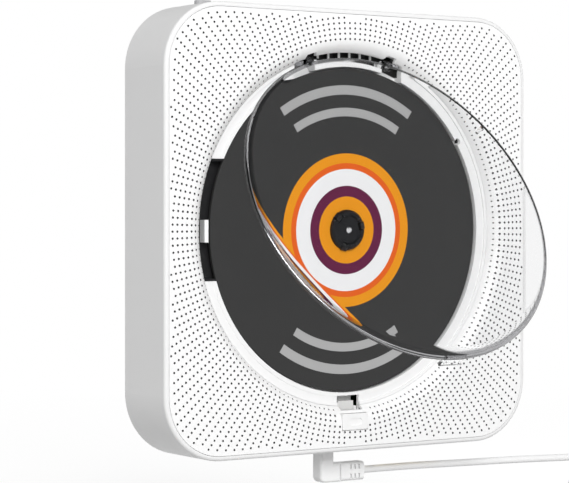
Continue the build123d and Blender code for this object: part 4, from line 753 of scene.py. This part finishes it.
# ---- cord ----
CORD_D, CORD_UP = 2.8, -91.4
CORD_ROUTE = [(12.9, CORD_UP, 14.0), (35.0, CORD_UP, 14.0), (62.0, -92.1, 13.8), (90.0, -92.6, 14.1)]
COIL_X, COIL_IN, COIL_STEP, COIL_RISE, COIL_TURNS, COIL_LAYERS = 143.0, 10.7, 3.85, 3.3, 2, 4
COIL_DROP = 3.0
COIL_Y = CORD_UP - COIL_DROP - COIL_IN - COIL_TURNS * COIL_STEP
COIL_TOP = 14.0
COIL_LEAD, COIL_TAIL = 22.0, 14.0
COIL_POINTS = 16
OWN_SHARE = 0.75          # of a point in the curve's place beside it; its two neighbours share the rest
SMALL_TURN = 1e-4


def coil_point(a, swell=1.0):
    """The coil's centre line after a radians: flat spirals in and out, half a turn between layers."""
    span = 2 * pi * COIL_TURNS
    layer = min(int(max(a, 0) // (span + pi)), COIL_LAYERS - 1)
    inside = a - layer * (span + pi)
    share = min(inside / span, 1.0)
    climb = max(0.0, (inside - span) / pi)
    inward = share if layer % 2 == 0 else 1 - share
    r = (COIL_IN + COIL_STEP * COIL_TURNS * (1 - inward)) * swell
    out = COIL_TOP - COIL_RISE * (layer + climb - sin(2 * pi * climb) / (2 * pi))
    return Vector((COIL_X + r * sin(a), COIL_Y + r * cos(a), out))


def make_cord():
    """The cord as one smooth line from the plug's relief through its coil to the far plug."""
    end = 2 * pi * COIL_TURNS * COIL_LAYERS + pi * (COIL_LAYERS - 1)
    step = 2 * pi / COIL_POINTS
    swell = 1 / (OWN_SHARE + (1 - OWN_SHARE) * cos(step))
    first, later = coil_point(0), coil_point(SMALL_TURN)
    along = (later - first).normalized()
    points = [Vector(p) for p in CORD_ROUTE]
    points += [first - along * (CORD_D + COIL_LEAD), first - along * CORD_D]
    count = round(end / step)
    points += [coil_point(k * step, swell) for k in range(count + 1)]
    last, before = coil_point(end), coil_point(end - SMALL_TURN)
    way = (last - before).normalized()
    points += [last + way * COIL_TAIL * 0.5, last + way * COIL_TAIL]
    curve = bpy.data.curves.new("cord_line", "CURVE")
    curve.dimensions = "3D"
    curve.bevel_depth = CORD_D / 2 * MM
    curve.bevel_resolution = 6
    curve.use_fill_caps = True
    spline = curve.splines.new("NURBS")
    spline.points.add(len(points) - 1)
    for p, co in zip(spline.points, points):
        p.co = (*stand(co.x, co.y, co.z), 1)
    spline.order_u = 3
    spline.use_endpoint_u = True
    spline.resolution_u = 8
    curve.materials.append(SLOTS["cord_white"])
    obj = bpy.data.objects.new("cord_line", curve)
    bpy.context.scene.collection.objects.link(obj)
    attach(obj, "case")
    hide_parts("cord", "cord_coil")


def make_latch_spring():
    """The catch's spring as a piece of the scene of its own, riding the case."""
    spring = bpy.data.objects.new("catch_spring", frame["nodes"]["latch_spring"].data.copy())
    bpy.context.scene.collection.objects.link(spring)
    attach(spring, "case")
    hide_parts("latch_spring")
    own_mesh(spring)


# ---- display digits ----
DIGIT_LOW, BAR_THICK = -81.93, 0.06
DIGIT_X, DIGIT_OUT = (22.5, 29.0, 37.5, 44.0), 14.5
DIGIT_HALF, DIGIT_W = 4.2, 4.4
BAR_GAP, BAR_HALF = 0.35, 0.45
COLON_X, COLON_OUT, COLON_HALF = (32.7, 33.8), (12.6, 16.4), 0.5


def digit_glow():
    mat, tree, shader = new_material("digit_glow")
    shader.inputs["Base Color"].default_value = (0.9, 0.72, 0.3, 1)
    shader.inputs["Emission Color"].default_value = (1.0, 0.72, 0.25, 1)
    shader.inputs["Emission Strength"].default_value = 0.8
    bump = add(tree, "ShaderNodeBump")
    bump.inputs["Strength"].default_value = 0.05
    tree.links.new(noise(tree, scale=900.0), bump.inputs["Height"])
    tree.links.new(bump.outputs["Normal"], shader.inputs["Normal"])
    return mat


def make_digits():
    """Plain seven-segment zeros just outside the dark window's face at the bottom, as thin bars."""
    verts, faces = [], []

    def bar(x0, z0, x1, z1, half):
        dx, dz = x1 - x0, z1 - z0
        size = sqrt(dx * dx + dz * dz)
        dx, dz = dx / size, dz / size
        nx, nz = -dz * half, dx * half
        ring = [
            (x0, z0), (x0 + dx * half + nx, z0 + dz * half + nz), (x1 - dx * half + nx, z1 - dz * half + nz),
            (x1, z1), (x1 - dx * half - nx, z1 - dz * half - nz), (x0 + dx * half - nx, z0 + dz * half - nz),
        ]
        base = len(verts)
        verts.extend(stand(x, DIGIT_LOW + BAR_THICK, z) for x, z in ring)
        verts.extend(stand(x, DIGIT_LOW, z) for x, z in ring)
        faces.append(tuple(base + k for k in range(6)))
        faces.append(tuple(base + 6 + k for k in reversed(range(6))))
        faces.extend((base + k, base + (k + 1) % 6, base + 6 + (k + 1) % 6, base + 6 + k) for k in range(6))

    near, middle, far = DIGIT_OUT - DIGIT_HALF, DIGIT_OUT, DIGIT_OUT + DIGIT_HALF
    for x in DIGIT_X:
        left, right = x - DIGIT_W / 2, x + DIGIT_W / 2
        for z in (near, far):
            bar(left + BAR_GAP, z, right - BAR_GAP, z, BAR_HALF)
        for side in (left, right):
            bar(side, near + BAR_GAP, side, middle - BAR_GAP, BAR_HALF)
            bar(side, middle + BAR_GAP, side, far - BAR_GAP, BAR_HALF)
    for z in COLON_OUT:
        bar(COLON_X[0], z, COLON_X[1], z, COLON_HALF)
    mesh_object("display_digits", verts, faces, [digit_glow()], "case")


# ---- stage and light ----
FLOOR_SIZE, FLOOR_DROP = 14, 0.0005
FLOOR_GREY = 0.55
FLOOR_GLOW = 0.64
FADE_FROM, FADE_TO = 0.25, 0.9
SKY_LEVEL = 0.46
CEILING_FROM, CEILING_TO, CEILING_LEVEL = 0.12, 0.5, 0.06
LAMPS = (("key", (-0.604, -1.659, 0.939), 30.5, 1.0),)     # name, place, power and size


def make_floor():
    """Grey for the light that it gives back, white to the eye, and away from the object all white."""
    bpy.ops.mesh.primitive_plane_add(size=FLOOR_SIZE, location=(0, 0, CAD_BOX[0][2] - FLOOR_DROP))
    floor = bpy.context.object
    floor.name = "floor"
    mat, tree, shader = new_material("floor")
    shader.inputs["Base Color"].default_value = (FLOOR_GREY, FLOOR_GREY, FLOOR_GREY, 1)
    shader.inputs["Roughness"].default_value = 1.0
    shader.inputs["Specular IOR Level"].default_value = 0.0
    shader.inputs["Emission Color"].default_value = (1, 1, 1, 1)
    seen = any_ray(tree, "Is Camera Ray", "Is Transmission Ray", "Is Glossy Ray")
    tree.links.new(product(tree, seen, FLOOR_GLOW), shader.inputs["Emission Strength"])
    coords = add(tree, "ShaderNodeTexCoord")
    length = add(tree, "ShaderNodeVectorMath", operation="LENGTH")
    tree.links.new(coords.outputs["Object"], length.inputs[0])
    far = ranged(tree, length.outputs["Value"], 0.0, 1.0, FADE_FROM, FADE_TO)
    plain = add(tree, "ShaderNodeEmission")
    mixed = add(tree, "ShaderNodeMixShader")
    tree.links.new(product(tree, far, seen), mixed.inputs["Fac"])
    tree.links.new(shader.outputs["BSDF"], mixed.inputs[1])
    tree.links.new(plain.outputs["Emission"], mixed.inputs[2])
    tree.links.new(mixed.outputs["Shader"], tree.nodes["Material Output"].inputs["Surface"])
    floor.data.materials.append(mat)


def make_world():
    """White behind the object, a level sky for its light, and a dark ceiling in glass and gloss."""
    world = bpy.data.worlds.new("studio")
    bpy.context.scene.world = world
    world.use_nodes = True
    tree = world.node_tree
    back = tree.nodes["Background"]
    back.inputs["Color"].default_value = (1, 1, 1, 1)
    coords = add(tree, "ShaderNodeTexCoord")
    axes = add(tree, "ShaderNodeSeparateXYZ")
    tree.links.new(coords.outputs["Generated"], axes.inputs[0])
    wrap = ranged(tree, axes.outputs["Z"], 1.0, CEILING_LEVEL, CEILING_FROM, CEILING_TO)
    studio = add(tree, "ShaderNodeMix", data_type="FLOAT")
    studio.inputs["A"].default_value = SKY_LEVEL
    tree.links.new(any_ray(tree, "Is Glossy Ray", "Is Transmission Ray"), studio.inputs["Factor"])
    tree.links.new(wrap, studio.inputs["B"])
    level = add(tree, "ShaderNodeMix", data_type="FLOAT")
    level.inputs["B"].default_value = 1.0
    tree.links.new(any_ray(tree, "Is Camera Ray"), level.inputs["Factor"])
    tree.links.new(studio.outputs["Result"], level.inputs["A"])
    tree.links.new(level.outputs["Result"], back.inputs["Strength"])


def make_lamps():
    for name, at, power, size in LAMPS:
        data = bpy.data.lights.new(name, "AREA")
        data.energy = power
        data.size = size
        lamp = bpy.data.objects.new(name, data)
        bpy.context.scene.collection.objects.link(lamp)
        lamp.location = at
        lamp.rotation_mode = "QUATERNION"
        lamp.rotation_quaternion = (-Vector(at)).to_track_quat("-Z", "Y")


def dress_nodes():
    """Every kept solid gets the material of its slot."""
    slot_of = {s["node"]: s["material_slot"] for s in frame["record"]["subparts"]}
    for node, obj in frame["nodes"].items():
        obj.data.materials.clear()
        obj.data.materials.append(TRAY_WHITE if node == "disc_tray" else SLOTS[slot_of[node]])


make_camera()
make_cord()
dress_nodes()
make_grille()
make_disc()
make_lid()
make_latch_spring()
make_digits()
make_floor()
make_world()
make_lamps()

scene = bpy.context.scene
scene.view_settings.view_transform = "Standard"
